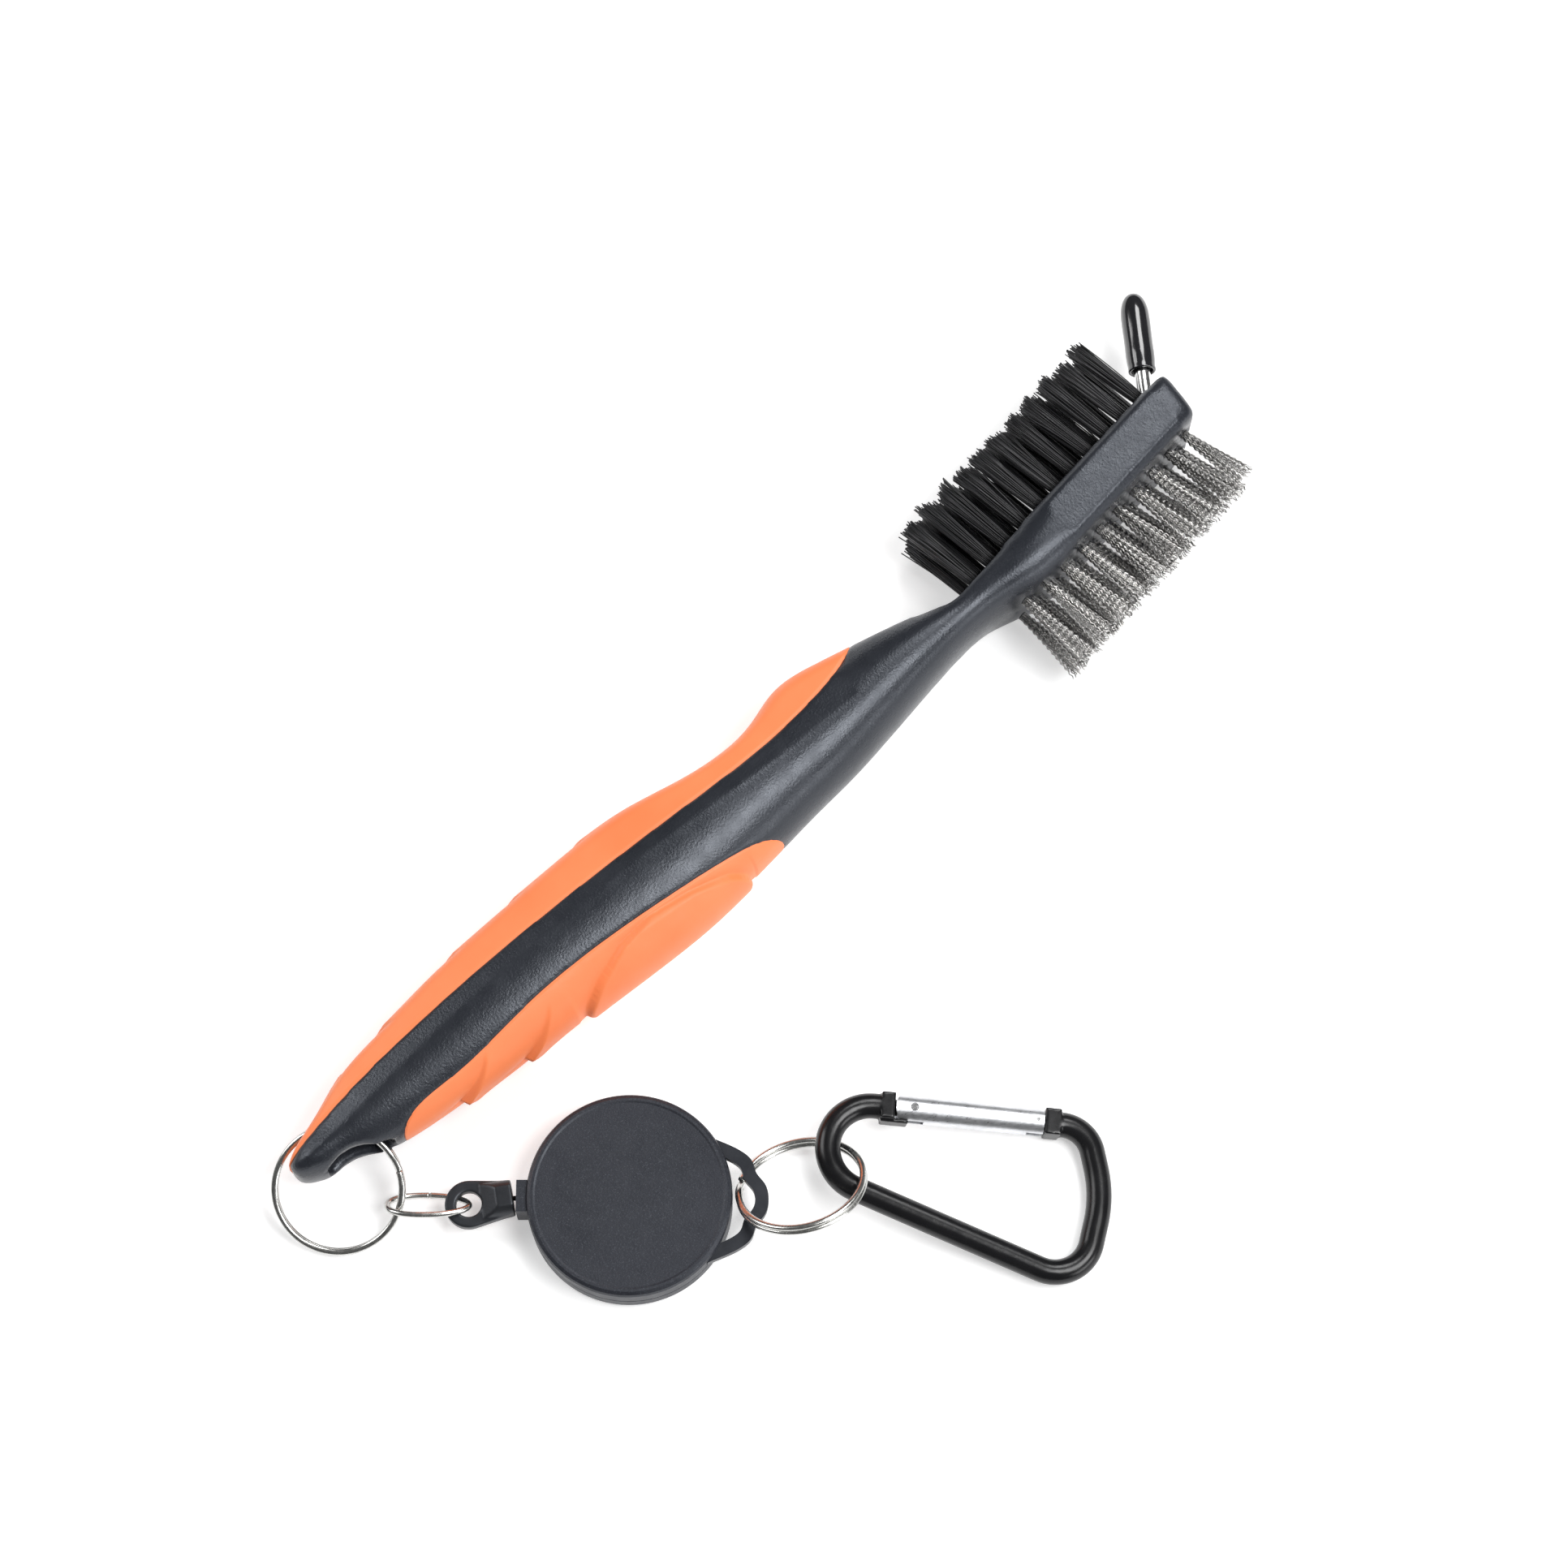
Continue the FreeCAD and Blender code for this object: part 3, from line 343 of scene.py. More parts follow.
def even_shading(piece, x_low, x_high, passes):
    """Blurs the shading normals over part of the brush, where two surfaces run into each other."""
    mesh = piece.data
    count = len(mesh.vertices)
    places, normals = np.empty(count * 3), np.empty(count * 3)
    ends = np.empty(len(mesh.edges) * 2, dtype=np.int64)
    mesh.vertices.foreach_get("co", places)
    mesh.vertex_normals.foreach_get("vector", normals)
    mesh.edges.foreach_get("vertices", ends)
    x = (places.reshape(-1, 3)[:, 0] - ORIGIN.x) / MM
    normals = normals.reshape(-1, 3)
    weight = np.clip(np.minimum(x - x_low, x_high - x) / NORMAL_FADE, 0, 1)[:, None]
    ends = ends.reshape(-1, 2)
    a, b = ends[(weight[ends, 0] > 0).any(axis=1)].T
    for _ in range(passes):
        total = np.stack([np.bincount(a, normals[b, k], count) + np.bincount(b, normals[a, k], count)
                          for k in range(3)], -1)
        total /= np.maximum(np.linalg.norm(total, axis=1, keepdims=True), 1e-9)
        normals = normals * (1 - weight) + total * weight
        normals /= np.linalg.norm(normals, axis=1, keepdims=True)
    mesh.normals_split_custom_set_from_vertices(normals)


LANYARD_END, NECK, NECK_MIDDLE, HEAD_TIP = (-1, 3), (132, 156), (137, 151), (187, 200)
core_skin = softened("core_skin", "handle_core", "brush", 0.42, 4,
                     ((LANYARD_END, 8), (NECK, 50), (NECK_MIDDLE, 90), (HEAD_TIP, 32)))
even_shading(core_skin, 116, 161, 200)
softened("carabiner_skin", "carabiner_body", "carabiner", 0.16, 6)
softened("cord_end_skin", "cord_end", "cord_tab", 0.12, 14)


# ---- tufts ----
ROW_PITCH = 3.35
ROWS = (("top", 1), ("middle", 0), ("bottom", -1))
# counts are those of an outer row and of the middle row; root and tip are a tuft's radii
NYLON = {"first": -4.9, "pitch": 4.28, "counts": (11, 9), "root": 0.96, "tip": 1.46, "length": 14.4}
WIRE = {"first": -2.0, "pitch": 4.43, "counts": (10, 9), "root": 0.70, "tip": 1.92, "length": 12.4}
HEAD_HALF = 4.5
NYLON_SEAT, WIRE_SEAT = 1.2, 1.0    # how deep the shown filaments start in the head
NYLON_FILAMENT_R, WIRE_FILAMENT_R = 0.105, 0.10
WIRE_FAN = 3.5              # degrees that the end tufts of wire lean outwards
CRIMP_SWING = 0.12


def tuft_places(kind, row):
    count = kind["counts"][0] if row else kind["counts"][1]
    offset = 0.0 if row else kind["pitch"] / 2
    return [(kind["first"] + offset + kind["pitch"] * i, MID_Z + row * ROW_PITCH) for i in range(count)]


def nylon_row(label, row):
    """Straight black filaments, cut a little unevenly, with a few that stray."""
    per_tuft, steps = 88, 5
    t = np.linspace(0, 1, steps)
    paths = []
    for s, z in tuft_places(NYLON, row):
        a, b = packed_circle(per_tuft)
        lean_s, lean_z = rng.normal(0, 0.25, 2)
        slope = rng.normal(0, 0.50)
        spread = NYLON["tip"] / NYLON["root"] * rng.uniform(0.92, 1.12)
        stray = np.where(rng.random(per_tuft) < 0.07, rng.normal(0, 1.0, per_tuft), 0.0)
        tip_s = a * NYLON["root"] * spread + lean_s + rng.normal(0, 0.16, per_tuft) + stray
        tip_z = b * NYLON["root"] * spread + lean_z + rng.normal(0, 0.16, per_tuft)
        cut = NYLON["length"] + rng.normal(-0.1, 0.18) + slope * a + rng.normal(0, 0.30, per_tuft)
        cut = cut - np.where(rng.random(per_tuft) < 0.14, rng.uniform(0.3, 1.8, per_tuft), 0.0)
        bow = rng.normal(0, 0.10, (2, per_tuft))
        along = HEAD_HALF - NYLON_SEAT + (cut + NYLON_SEAT)[:, None] * t
        arch = np.sin(np.pi * t)
        ss = s + (a * NYLON["root"])[:, None] * (1 - t) + tip_s[:, None] * t + bow[0][:, None] * arch
        zz = z + (b * NYLON["root"])[:, None] * (1 - t) + tip_z[:, None] * t + bow[1][:, None] * arch
        paths.append(head_array(ss, along, zz))
    piece = fibres("nylon_filaments_" + label, np.concatenate(paths), NYLON_FILAMENT_R * MM, 5, nylon_black)
    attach(piece, "brush")
    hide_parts("nylon_row_" + label)


def wire_row(label, row):
    """Crimped steel wires that fan out from each hole and end raggedly."""
    per_tuft, wave, per_wave = 37, 1.10, 6
    steps = int(WIRE["length"] / wave * per_wave)
    t = np.linspace(0, 1, steps)
    half_row = WIRE["pitch"] * (WIRE["counts"][0] - 1) / 2
    middle = WIRE["first"] + half_row
    paths = []
    for s, z in tuft_places(WIRE, row):
        lean = math.tan(math.radians(WIRE_FAN * (s - middle) / half_row)) * WIRE["length"]
        a, b = packed_circle(per_tuft)
        spread = WIRE["tip"] / WIRE["root"] * rng.uniform(0.9, 1.1)
        tip_s = a * WIRE["root"] * spread + lean + rng.normal(0, 0.2, per_tuft)
        tip_z = b * WIRE["root"] * spread * 0.85 + rng.normal(0, 0.15, per_tuft)
        cut = WIRE["length"] - np.abs(rng.normal(0, 0.75, per_tuft)) + 0.3
        along = HEAD_HALF - WIRE_SEAT + (cut + WIRE_SEAT)[:, None] * t
        phase = rng.normal(0, 0.20, per_tuft)[:, None] + rng.uniform(0, 6.28)
        angle = 2 * np.pi * along / wave + phase
        plane = rng.normal(rng.uniform(-0.4, 0.4), 0.25, per_tuft)[:, None]
        grow = np.clip((along - HEAD_HALF + 0.6) / 1.5, 0, 1)
        swing = CRIMP_SWING * np.sin(angle) * grow
        open_out = t ** 1.25
        root_s, root_z = a * WIRE["root"], b * WIRE["root"]
        ss = s + root_s[:, None] + (tip_s - root_s)[:, None] * open_out + swing * np.cos(plane)
        zz = z + root_z[:, None] + (tip_z - root_z)[:, None] * open_out + swing * np.sin(plane)
        paths.append(head_array(ss, -along, zz))
    piece = fibres("wire_filaments_" + label, np.concatenate(paths), WIRE_FILAMENT_R * MM, 4, steel_wire)
    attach(piece, "brush")
    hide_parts("wire_row_" + label)


for row_label, row_step in ROWS:
    nylon_row(row_label, row_step)
    wire_row(row_label, row_step)


# ---- grips ----
# a line inside the handle, from which its surface is sampled
AXIS_X = (0.0, 25.0, 50.0, 80.0, 95.0, 107.0, 125.0)
AXIS_Y = (-1.4, -1.7, -2.2, -3.2, -4.0, -3.0, -3.6)
RAY_START = 0.03            # metres from the line, outside the surface

BACK_SCALES = (22.8, 38.0, 51.0, 64.6)                      # x of each scale's edge
FRONT_SCALES = ((27.0, 0.95, 0.80), (38.8, 0.80, 0.70))     # x, how far raised, how far sunk
# the upper edge of the front grip's crescent pad
PAD_X = (49.1, 54.9, 60.6, 66.8, 74.3, 81.2, 85.8)
PAD_Y = (-13.4, -11.2, -9.7, -9.2, -10.4, -12.3, -14.5)
PAD_HEIGHT, PAD_MOAT = 0.85, 0.35

GRIP_STEP = 0.24            # between the sampled sections
GRIP_ACROSS = 97            # places across a section, an odd number
GRIP_DEPTH = 1.5
SEAM_GROOVE = 0.16
# where the lanyard slot opens in the back grip, and half the height that it takes from a section
SLOT_STRETCH = (4.0, 15.4)
SLOT_REACH = 2.75
SLOT_BOX = ((4.3, -12, 7.0), (15.0, 10, 12.0))
SLOT_CORNER_R = 1.2


def handle_tree():
    """One search tree over the handle's CAD solids, and the node that each face belongs to."""
    points, faces, owner = [], [], []
    for name in ("handle_core", "grip_back", "grip_front"):
        mesh = frame["nodes"][name].data
        first = len(points)
        points += [v.co.copy() for v in mesh.vertices]
        for polygon in mesh.polygons:
            faces.append([first + i for i in polygon.vertices])
            owner.append(name)
    return BVHTree.FromPolygons(points, faces), owner


HANDLE_TREE, HANDLE_OWNER = handle_tree()


def handle_hit(x, angle):
    """Distance of the surface from the handle's axis in mm, and the CAD node there. Angle 0 is the back."""
    y = float(np.interp(x, AXIS_X, AXIS_Y))
    out = Vector((0, math.cos(angle), math.sin(angle)))
    axis = brush(x, y, MID_Z)
    place, _, index, _ = HANDLE_TREE.ray_cast(axis + out * RAY_START, -out, RAY_START)
    if place is None:
        return 0.0, ""
    return (place - axis).length / MM, HANDLE_OWNER[index]


def seam_angle(x, node, inside, outside):
    """The angle where the surface changes from this grip to the core."""
    for _ in range(14):
        middle = (inside + outside) / 2
        if handle_hit(x, middle)[1] == node:
            inside = middle
        else:
            outside = middle
    return inside


def smooth(t):
    t = np.clip(t, 0, 1)
    return t * t * (3 - 2 * t)


def scale_edge(t, raised, sunk, fall_up, fall_down):
    """Profile across the edge of a scale: sunk just before it, raised just after it, fading both ways."""
    after = raised * np.exp(-np.clip(t, 0, None) / fall_up)
    before = -sunk * np.exp(np.clip(t, None, 0) / fall_down)
    blend = smooth(t / 0.8 + 0.5)
    return before + (after - before) * blend


def back_relief(x, _, z):
    """Shallow scales along the ridge of the back grip."""
    off = np.abs(z)
    relief = np.zeros_like(x)
    for notch in BACK_SCALES:
        edge = notch + 0.75 * off
        relief += scale_edge(x - edge, 0.26, 0.42, 6.0, 2.6)
    return relief * (1 - smooth((off - 3.0) / 3.5))


def front_relief(x, y, z):
    """Two finger scales and the long crescent pad of the front grip."""
    off = np.abs(z)
    relief = np.zeros_like(x)
    for notch, raised, sunk in FRONT_SCALES:
        edge = notch + 1.15 * off
        relief += scale_edge(x - edge, raised, sunk, 3.6, 3.0) * np.clip(1 - off / 6.6, 0, 1)
    rim = np.interp(x, PAD_X, PAD_Y)
    rim = np.where((x < PAD_X[0]) | (x > PAD_X[-1]), -30.0, rim)
    inside = rim - y
    pad = PAD_HEIGHT * smooth(inside / 0.6 + 0.5)
    moat = -PAD_MOAT * np.exp(-np.clip(-inside, 0, None) / 1.3) * (inside < 0)
    ends = smooth((x - PAD_X[0] + 0.5) / 1.2)
    return relief + (pad + moat) * ends


def across_slot(half, sampled):
    """Radii of a section with the part that the slot takes away filled by a curve through the rest."""
    heights = sampled * np.sin(half)
    usable = heights > SLOT_REACH
    usable[-1] = True
    outer, known = half[usable], sampled[usable]
    both_sides = np.concatenate([-outer[::-1], outer])
    fit = np.polyfit(both_sides, np.concatenate([known[::-1], known]), 4 if len(outer) > 6 else 2)
    return np.where(heights > SLOT_REACH, sampled, np.polyval(fit, half))


def grip_section(x, node, front, spread):
    """Angles, radii and seam angle of a grip's section at x, or None where the grip isn't there."""
    middle = math.pi if front else 0.0
    tries = (middle - 0.02, middle - 0.35) if front else (0.62, 0.45, 0.02)
    start = next((angle for angle in tries if handle_hit(x, angle)[1] == node), None)
    if start is None:
        return None
    reach = abs(seam_angle(x, node, start, math.pi / 2) - middle)
    angles = middle + spread * reach
    half = np.abs(angles - middle)[len(spread) // 2:]
    sampled = np.array([handle_hit(x, middle - h if front else h)[0] for h in half])
    if not front and SLOT_STRETCH[0] < x < SLOT_STRETCH[1]:
        sampled = across_slot(half, sampled)
    return x, angles, np.concatenate([sampled[:0:-1], sampled]), reach


def grip(name, node, front, first_x, last_x, relief):
    """A grip's outer skin on the handle's surface, with its relief, closed by a skin underneath."""
    middle = math.pi if front else 0.0
    spread = np.sin(np.linspace(-0.5, 0.5, GRIP_ACROSS) * np.pi)
    sections = [grip_section(x, node, front, spread) for x in np.arange(first_x, last_x, GRIP_STEP)]
    rows = [section for section in sections if section]
    xs = np.array([r[0] for r in rows])[:, None] * np.ones(GRIP_ACROSS)
    angles = np.stack([r[1] for r in rows])
    radius = np.stack([r[2] for r in rows])
    reach = np.array([r[3] for r in rows])[:, None]
    axis_y = np.interp(xs, AXIS_X, AXIS_Y)
    y = axis_y + np.cos(angles) * radius
    z = np.sin(angles) * radius
    from_seam = (reach - np.abs(angles - middle)) * radius
    lift = relief(xs, y, z) * smooth(from_seam / 2.0) - SEAM_GROOVE * (1 - smooth(from_seam / 0.45))
    lift *= smooth((xs - first_x) / 1.5)

    def skin(r):
        places = np.stack([xs, axis_y + np.cos(angles) * r, MID_Z + np.sin(angles) * r], -1)
        return places * MM + np.array(ORIGIN)

    count, across = xs.shape
    under = np.maximum(radius - GRIP_DEPTH, 0.4 * radius)
    points = np.concatenate([skin(radius + lift).reshape(-1, 3), skin(under).reshape(-1, 3)])
    total = count * across
    faces = []
    for i in range(count - 1):
        for k in range(across - 1):
            a = i * across + k
            faces.append((a, a + 1, a + across + 1, a + across))
            b = a + total
            faces.append((b, b + across, b + across + 1, b + 1))
    rim = list(range(across))
    rim += [i * across + across - 1 for i in range(1, count)]
    rim += list(range(total - 2, total - across - 1, -1))
    rim += [i * across for i in range(count - 2, 0, -1)]
    for a, b in zip(rim, rim[1:] + rim[:1]):
        faces.append((b, a, a + total, b + total))
    piece = mesh_object(name, points, faces, grip_orange)
    bm = bmesh.new()
    bm.from_mesh(piece.data)
    bmesh.ops.recalc_face_normals(bm, faces=bm.faces)
    bm.to_mesh(piece.data)
    bm.free()
    return piece


def rounded_box(name, low, high, radius):
    """A box between two corners on the brush, its edges along y rounded."""
    mesh = bpy.data.meshes.new(name)
    bm = bmesh.new()
    bmesh.ops.create_cube(bm, size=1.0)
    for v in bm.verts:
        v.co = brush(*(low[i] + (v.co[i] + 0.5) * (high[i] - low[i]) for i in range(3)))
    upright = [e for e in bm.edges if abs((e.verts[0].co - e.verts[1].co).y) > 1e-4]
    bmesh.ops.bevel(bm, geom=upright, offset=radius * MM, segments=5, affect="EDGES", profile=0.5)
    bmesh.ops.recalc_face_normals(bm, faces=bm.faces)
    bm.to_mesh(mesh)
    bm.free()
    box_object = bpy.data.objects.new(name, mesh)
    bpy.context.scene.collection.objects.link(box_object)
    return box_object


def cut_out(piece, cutter):
    """Applies a boolean cut and removes the cutter."""
    modifier = piece.modifiers.new("cut", "BOOLEAN")
    modifier.object = cutter
    modifier.solver = "EXACT"
    evaluated(piece)
    bpy.data.objects.remove(cutter)


back = grip("grip_back_skin", "grip_back", False, 0.03, 123.0, back_relief)
cut_out(back, rounded_box("slot_cutter", *SLOT_BOX, SLOT_CORNER_R))
front = grip("grip_front_skin", "grip_front", True, 14.6, 94.5, front_relief)
for piece, node in ((back, "grip_back"), (front, "grip_front")):
    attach(piece, "brush")
    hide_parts(node)


# ---- tubes and split rings ----
def tube_faces(steps, sides):
    """Side quads and two caps of a tube whose rims follow each other, facing as rims() turns."""
    faces = []
    for i in range(steps - 1):
        for k in range(sides):
            a, b = i * sides + k, i * sides + (k + 1) % sides
            faces.append((a, a + sides, b + sides, b))
    last = (steps - 1) * sides
    faces.append(tuple(range(sides)))
    faces.append(tuple(range(last + sides - 1, last - 1, -1)))
    return faces


def tube(name, path, side_a, side_b, half_a, half_b, sides, material):
    """A tube along path with rounded caps, oval with half sizes along directions side_a and side_b."""
    turn = np.linspace(0, 2 * np.pi, sides, endpoint=False)[:, None]
    rim = side_a[:, None] * (np.cos(turn) * half_a) + side_b[:, None] * (np.sin(turn) * half_b)
    points = (path[:, None] + rim).reshape(-1, 3)
    piece = mesh_object(name, points, tube_faces(len(path), sides), material)
    bm = bmesh.new()
    bm.from_mesh(piece.data)
    bmesh.ops.recalc_face_normals(bm, faces=bm.faces)
    ends = [e for e in bm.edges if any(len(f.verts) > 4 for f in e.link_faces)]
    bmesh.ops.bevel(bm, geom=ends, offset=0.08 * MM, segments=2, affect="EDGES")
    for f in bm.faces:
        f.smooth = True
    bm.to_mesh(piece.data)
    bm.free()
    return piece


COIL_OFFSET = 0.45          # each of the two coils stands off the ring's mid-plane by this
RING_WIRE_HALF = (0.55, 0.44)       # of its oval section, outwards and along the ring's axis
RING_STEP_HALF = math.radians(16)   # half the turn in which the wire steps to the other coil
RING_END_GAP = math.radians(3)


def split_ring(name, node, body, centre, radius, tilt, rise, ends_at):
    """One wire wound twice round, stepping over its own end."""
    slope, towards = math.radians(tilt), math.radians(rise)
    normal = np.array([-math.sin(slope) * math.cos(towards), -math.sin(slope) * math.sin(towards),
                       math.cos(slope)])
    flat = np.array([-math.sin(towards), math.cos(towards), 0.0])
    other = np.cross(normal, flat)
    angle = np.radians(ends_at) + np.linspace(RING_END_GAP, 4 * math.pi - RING_END_GAP, 420)
    step = smooth((angle - np.radians(ends_at) - 2 * math.pi + RING_STEP_HALF) / (2 * RING_STEP_HALF))
    offset = COIL_OFFSET * (2 * step - 1)
    spoke = np.cos(angle)[:, None] * flat + np.sin(angle)[:, None] * other
    path = np.array(centre) + spoke * radius + offset[:, None] * normal
    placed = np.array([list(chain(*p)) for p in path])
    turn = chain_turn()
    normals = np.broadcast_to(turn @ normal, placed.shape)
    half_out, half_along = RING_WIRE_HALF
    piece = tube(name, placed, spoke @ turn.T, normals, half_out * MM, half_along * MM, 16, ring_chrome)
    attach(piece, body)
    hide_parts(node)


split_ring("key_ring_wire", "key_ring", "ring", (7.42, -2.26, 5.5), 9.9, 25.0, 90.0, 200.0)
split_ring("small_ring_wire", "small_ring", "lower_ring", (79.3, -2.05, 7.05), 9.85, 36.0, -70.0,
           150.0)


# ---- oval link ----
EYE = (27.65, -4.48)        # of the cord's end fitting
CORD_R, CORD_Z = 0.4, 4.0
LINK_U = 21.3
LINK_HALF_LENGTH = 6.4
LINK_WIRE_R = 0.50


def oval_link():
    """Bent wire in a tilted oval, blunter and wider at the ring, its two ends butted on the long side."""
    tilt = math.radians(45.0)
    angle = np.linspace(math.radians(90.25), math.radians(449.75), 160)
    blunt = 0.95 + 0.05 * np.cos(angle)
    u = LINK_HALF_LENGTH * np.sign(np.cos(angle)) * np.abs(np.cos(angle)) ** blunt
    across = (2.84 - 0.26 * np.cos(angle)) * np.sign(np.sin(angle)) * np.abs(np.sin(angle)) ** blunt
    local = np.stack([u, across * math.cos(tilt), -across * math.sin(tilt)], -1)
    local += np.array((LINK_U, EYE[1], CORD_Z))
    path = np.array([list(chain(*p)) for p in local])
    along = np.gradient(path, axis=0)
    along /= np.linalg.norm(along, axis=-1, keepdims=True)
    normals = np.broadcast_to(chain_turn() @ np.array([0, math.sin(tilt), math.cos(tilt)]), path.shape)
    piece = tube("oval_link_wire", path, np.cross(along, normals), normals, LINK_WIRE_R * MM,
                 LINK_WIRE_R * MM, 16, ring_chrome)
    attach(piece, "link")
    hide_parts("wire_link")


oval_link()


# ---- pick cap ----
def turned(name, profile, centre, axis, sides, material):
    """A closed profile of (distance along axis, radius) in mm, turned about the axis from centre."""
    axis = axis.normalized()
    side = axis.cross(Vector((0, 0, 1))).normalized()
    other = axis.cross(side)
    points, faces = [], []
    for along, radius in profile:
        for i in range(sides):
            angle = 2 * math.pi * i / sides
            spoke = side * math.cos(angle) + other * math.sin(angle)
            points.append(centre + (axis * along + spoke * radius) * MM)
    count = len(profile)
    for k in range(count):
        for i in range(sides):
            a, b = k * sides + i, k * sides + (i + 1) % sides
            c, d = ((k + 1) % count) * sides + (i + 1) % sides, ((k + 1) % count) * sides + i
            faces.append((a, b, c, d))
    piece = mesh_object(name, points, faces, material)
    bm = bmesh.new()
    bm.from_mesh(piece.data)
    bmesh.ops.remove_doubles(bm, verts=bm.verts, dist=1e-7)
    bmesh.ops.recalc_face_normals(bm, faces=bm.faces)
    bm.to_mesh(piece.data)
    bm.free()
    return piece


PICK_ROOT = (189.05, 3.8)   # where the pick's axis leaves the nylon face
PICK_ANGLE = math.radians(52.5)


def pick_cap():
    """Dipped vinyl cap: a rolled lip round its mouth, a slightly uneven wall and a rounded end."""
    start, length, wall_r, bore_r, end_length = 5.4, 14.4, 2.42, 1.42, 4.2
    lip = [(start + 0.22 - 0.22 * math.cos(a), 2.06 + 0.26 * math.sin(a))
           for a in np.linspace(-1.35, 1.65, 12)]
    wall = [(start + 0.7, wall_r - 0.13), (start + 1.2, wall_r - 0.10), (start + 2.0, wall_r - 0.04)]
    wall += [(start + along, wall_r + 0.02 * math.sin(along * 0.9)) for along in np.linspace(3.0, 9.9, 10)]
    end = [(start + length - end_length + end_length * math.sin(a), wall_r * math.cos(a) ** 0.82)
           for a in np.linspace(0.08, math.pi / 2 - 0.03, 16)]
    tip = [(start + length, 0.0), (18.0, 0.0), (16.6, 0.4)]
    inside = [(12.6, bore_r), (start + 1.2, bore_r), (start + 0.7, 1.75)]
    axis = Vector((math.cos(PICK_ANGLE), math.sin(PICK_ANGLE), 0))
    profile = lip + wall + end + tip + inside
    piece = turned("cap_skin", profile, brush(*PICK_ROOT, MID_Z), axis, 40, cap_vinyl)
    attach(piece, "cap")
    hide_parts("pick_cap")


pick_cap()


# ---- cord ----
def round_tube(name, path, radii, sides, material):
    """A capped round tube along points in metres, with a radius for each point of each rim."""
    points = (path[:, None] + rims(path, sides) * radii).reshape(-1, 3)
    return mesh_object(name, points, tube_faces(len(path), sides), material)


REEL = (52.66, -3.65)               # its centre
EYE_TURN = math.radians(9.5)        # of the end fitting, from u
STOP_END, SLEEVE_END = 4.2, 7.1     # from the eye
NOZZLE_MOUTH, NOZZLE_INSIDE = 35.6, 37.4
WINDING_MEAN_R = 11.75
WINDING_TURNS = 7.4
WINDING_LAYERS_R = (10.42, 10.86)
WINDING_Z = (2.3, 3.0)              # its lowest place and its width between the flanges
BRAID_DEPTH = 0.03
TURN_R = 0.38                       # of the wound cord, a little squeezed


def cord_strand():
    """Braided cord from the stop in its end fitting, through the nozzle, to the winding."""
    angle = math.acos(WINDING_MEAN_R / (REEL[0] - NOZZLE_INSIDE))
    corners = [(EYE[0] + STOP_END * math.cos(EYE_TURN), EYE[1] + STOP_END * math.sin(EYE_TURN)),
               (EYE[0] + SLEEVE_END * math.cos(EYE_TURN), EYE[1] + SLEEVE_END * math.sin(EYE_TURN)),
               (NOZZLE_INSIDE, REEL[1]),
               (REEL[0] - WINDING_MEAN_R * math.cos(angle), REEL[1] + WINDING_MEAN_R * math.sin(angle))]
    corner_at = np.concatenate([[0], np.cumsum(np.hypot(*np.diff(np.array(corners), axis=0).T))])
    at = np.linspace(0, corner_at[-1], 120)
    u = np.interp(at, corner_at, [p[0] for p in corners])
    w = np.interp(at, corner_at, [p[1] for p in corners])
    for _ in range(60):
        u[1:-1] = (u[:-2] + 2 * u[1:-1] + u[2:]) / 4
        w[1:-1] = (w[:-2] + 2 * w[1:-1] + w[2:]) / 4
    path = np.array([list(chain(a, b, CORD_Z)) for a, b in zip(u, w)])
    sides = 16
    around = np.linspace(0, 2 * np.pi, sides, endpoint=False)
    braid = np.cos(4 * around[None] + at[:, None] * 5.2) * np.cos(4 * around[None] - at[:, None] * 5.2)
    radii = (CORD_R - BRAID_DEPTH + BRAID_DEPTH * braid)[:, :, None] * MM
    piece = round_tube("cord_braid", path, radii, sides, cord_black)
    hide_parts("cord_strand")
    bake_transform(piece)


def cord_winding():
    """Two layers of cord on the drum."""
    at = np.linspace(0, WINDING_TURNS, 520)
    across = WINDING_Z[1] - 2 * CORD_R
    level = WINDING_Z[0] + CORD_R + across * (1 - np.abs(1 - at / (WINDING_TURNS / 2)))
    radius = np.where(at < WINDING_TURNS / 2, *WINDING_LAYERS_R)
    for _ in range(10):
        radius[1:-1] = (radius[:-2] + radius[1:-1] + radius[2:]) / 3
    angle = 2 * np.pi * at
    path = np.array([list(chain(REEL[0] + r * math.cos(a), REEL[1] + r * math.sin(a), z))
                     for r, a, z in zip(radius, angle, level)])
    piece = round_tube("cord_turns", path, TURN_R * MM, 8, cord_black)
    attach(piece, "drum")
    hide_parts("cord_winding")


cord_strand()
cord_winding()


# ---- floor, light and camera ----
def stage_floor():
    """A pale floor that gives off a little light of its own, so that it stays white."""
    half = 1.6
    points = [(-half, -half, 0), (half, -half, 0), (half, half, 0), (-half, half, 0)]
    material, _, _, shader = new_material("floor_white")
    shader.inputs["Base Color"].default_value = (0.80, 0.80, 0.80, 1)
    shader.inputs["Roughness"].default_value = 0.9
    shader.inputs["Specular IOR Level"].default_value = 0.1
    shader.inputs["Emission Color"].default_value = (1, 1, 1, 1)
    shader.inputs["Emission Strength"].default_value = 0.45
    floor = mesh_object("floor", points, [(0, 1, 2, 3)], material, smooth=False)


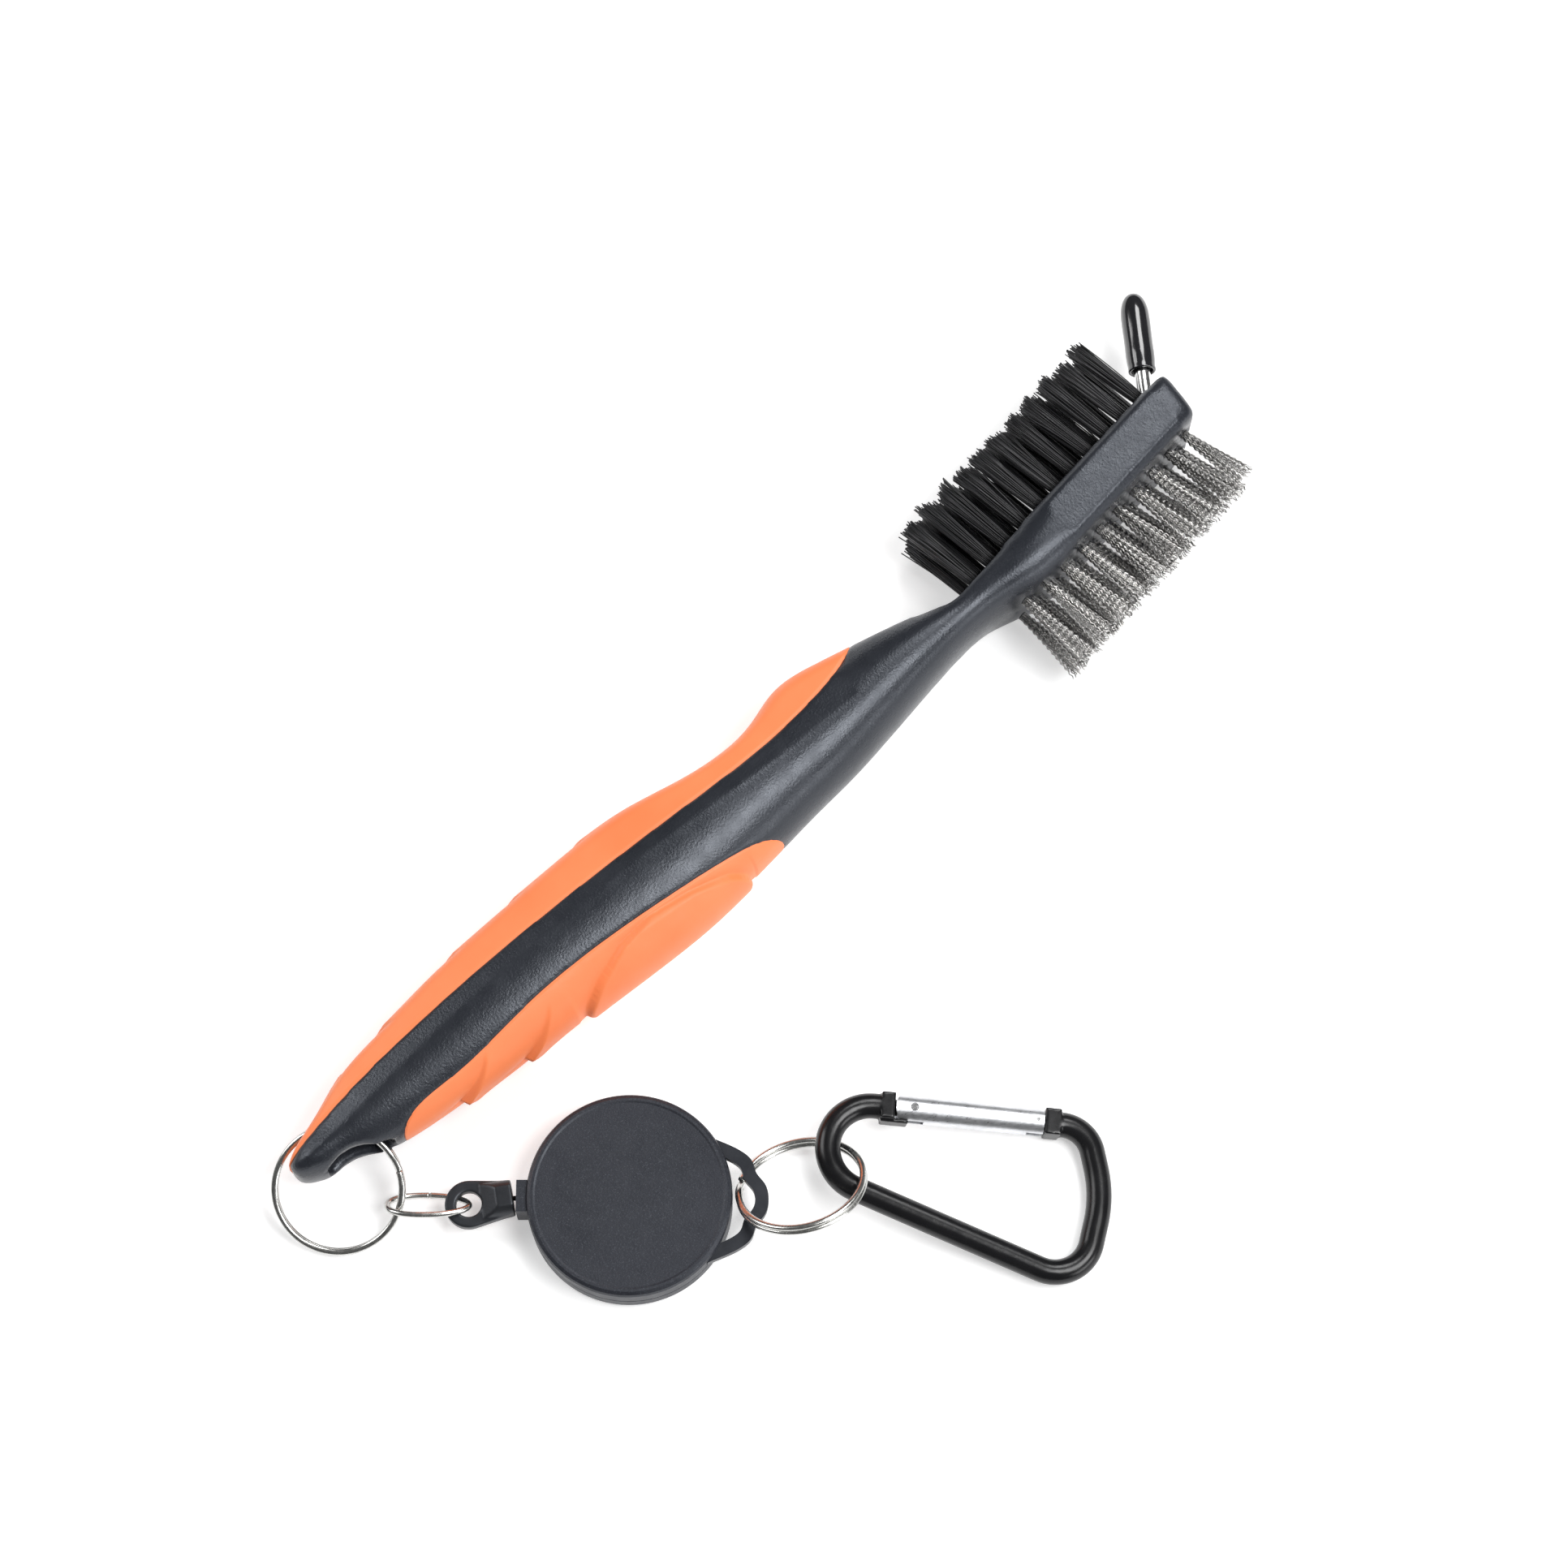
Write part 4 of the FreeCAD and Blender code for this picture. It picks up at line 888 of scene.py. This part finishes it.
def area_light(name, place, target, size, power):
    """A soft light facing the target; its size is in metres and its power in watts."""
    light = bpy.data.lights.new(name, "AREA")
    light.shape = "RECTANGLE"
    light.size, light.size_y = size
    light.energy = power
    lamp = bpy.data.objects.new(name, light)
    bpy.context.scene.collection.objects.link(lamp)
    lamp.location = place
    lamp.rotation_euler = (Vector(target) - Vector(place)).to_track_quat("-Z", "Y").to_euler()


CENTRE = chain(76.62, 66.42, 0)     # on the floor, in the middle of the view
RIGHT = Vector((math.cos(CHAIN_TURN), math.sin(CHAIN_TURN), 0))
UP = Vector((-math.sin(CHAIN_TURN), math.cos(CHAIN_TURN), 0))
SENSOR_WIDTH = 36.0
FOCAL_LENGTH = SENSOR_WIDTH * 4600.0 / 1932.0


def table(right, up, z):
    """A place given from the middle of the view, along the picture's right and up, in metres."""
    return CENTRE + RIGHT * right + UP * up + Vector((0, 0, z))


def camera():
    """A long lens, leaning towards the lower side from straight above."""
    tilt = math.radians(19.5)
    distance = 0.608
    data = bpy.data.cameras.new("camera")
    data.sensor_width = SENSOR_WIDTH
    data.lens = FOCAL_LENGTH
    data.clip_start, data.clip_end = 0.01, 10.0
    eye = bpy.data.objects.new("camera", data)
    bpy.context.scene.collection.objects.link(eye)
    place = table(0, -distance * math.sin(tilt), distance * math.cos(tilt))
    back = (place - CENTRE).normalized()
    upward = back.cross(RIGHT)
    eye.matrix_world = Matrix((
        (RIGHT.x, upward.x, back.x, place.x),
        (RIGHT.y, upward.y, back.y, place.y),
        (RIGHT.z, upward.z, back.z, place.z),
        (0, 0, 0, 1),
    ))
    bpy.context.scene.camera = eye


def lighting():
    """Plain soft studio light: one key, three weaker ones round it and a dim even surround."""
    world = bpy.data.worlds.new("studio")
    world.use_nodes = True
    background = world.node_tree.nodes["Background"]
    background.inputs["Color"].default_value = (1.0, 1.0, 1.0, 1)
    background.inputs["Strength"].default_value = 0.10
    bpy.context.scene.world = world
    aim = table(0, 0, 0)
    area_light("key", table(0.42, -0.14, 0.80), aim, (0.42, 0.42), 6.2)
    area_light("far_right", table(0.22, 0.52, 0.80), aim, (0.35, 0.35), 3.4)
    area_light("low_right", table(0.72, -0.50, 0.30), aim, (0.50, 0.30), 2.2)
    area_light("left", table(-0.65, 0.20, 0.50), aim, (0.40, 0.40), 2.4)


stage_floor()
lighting()
camera()
bpy.context.scene.view_settings.view_transform = "Standard"
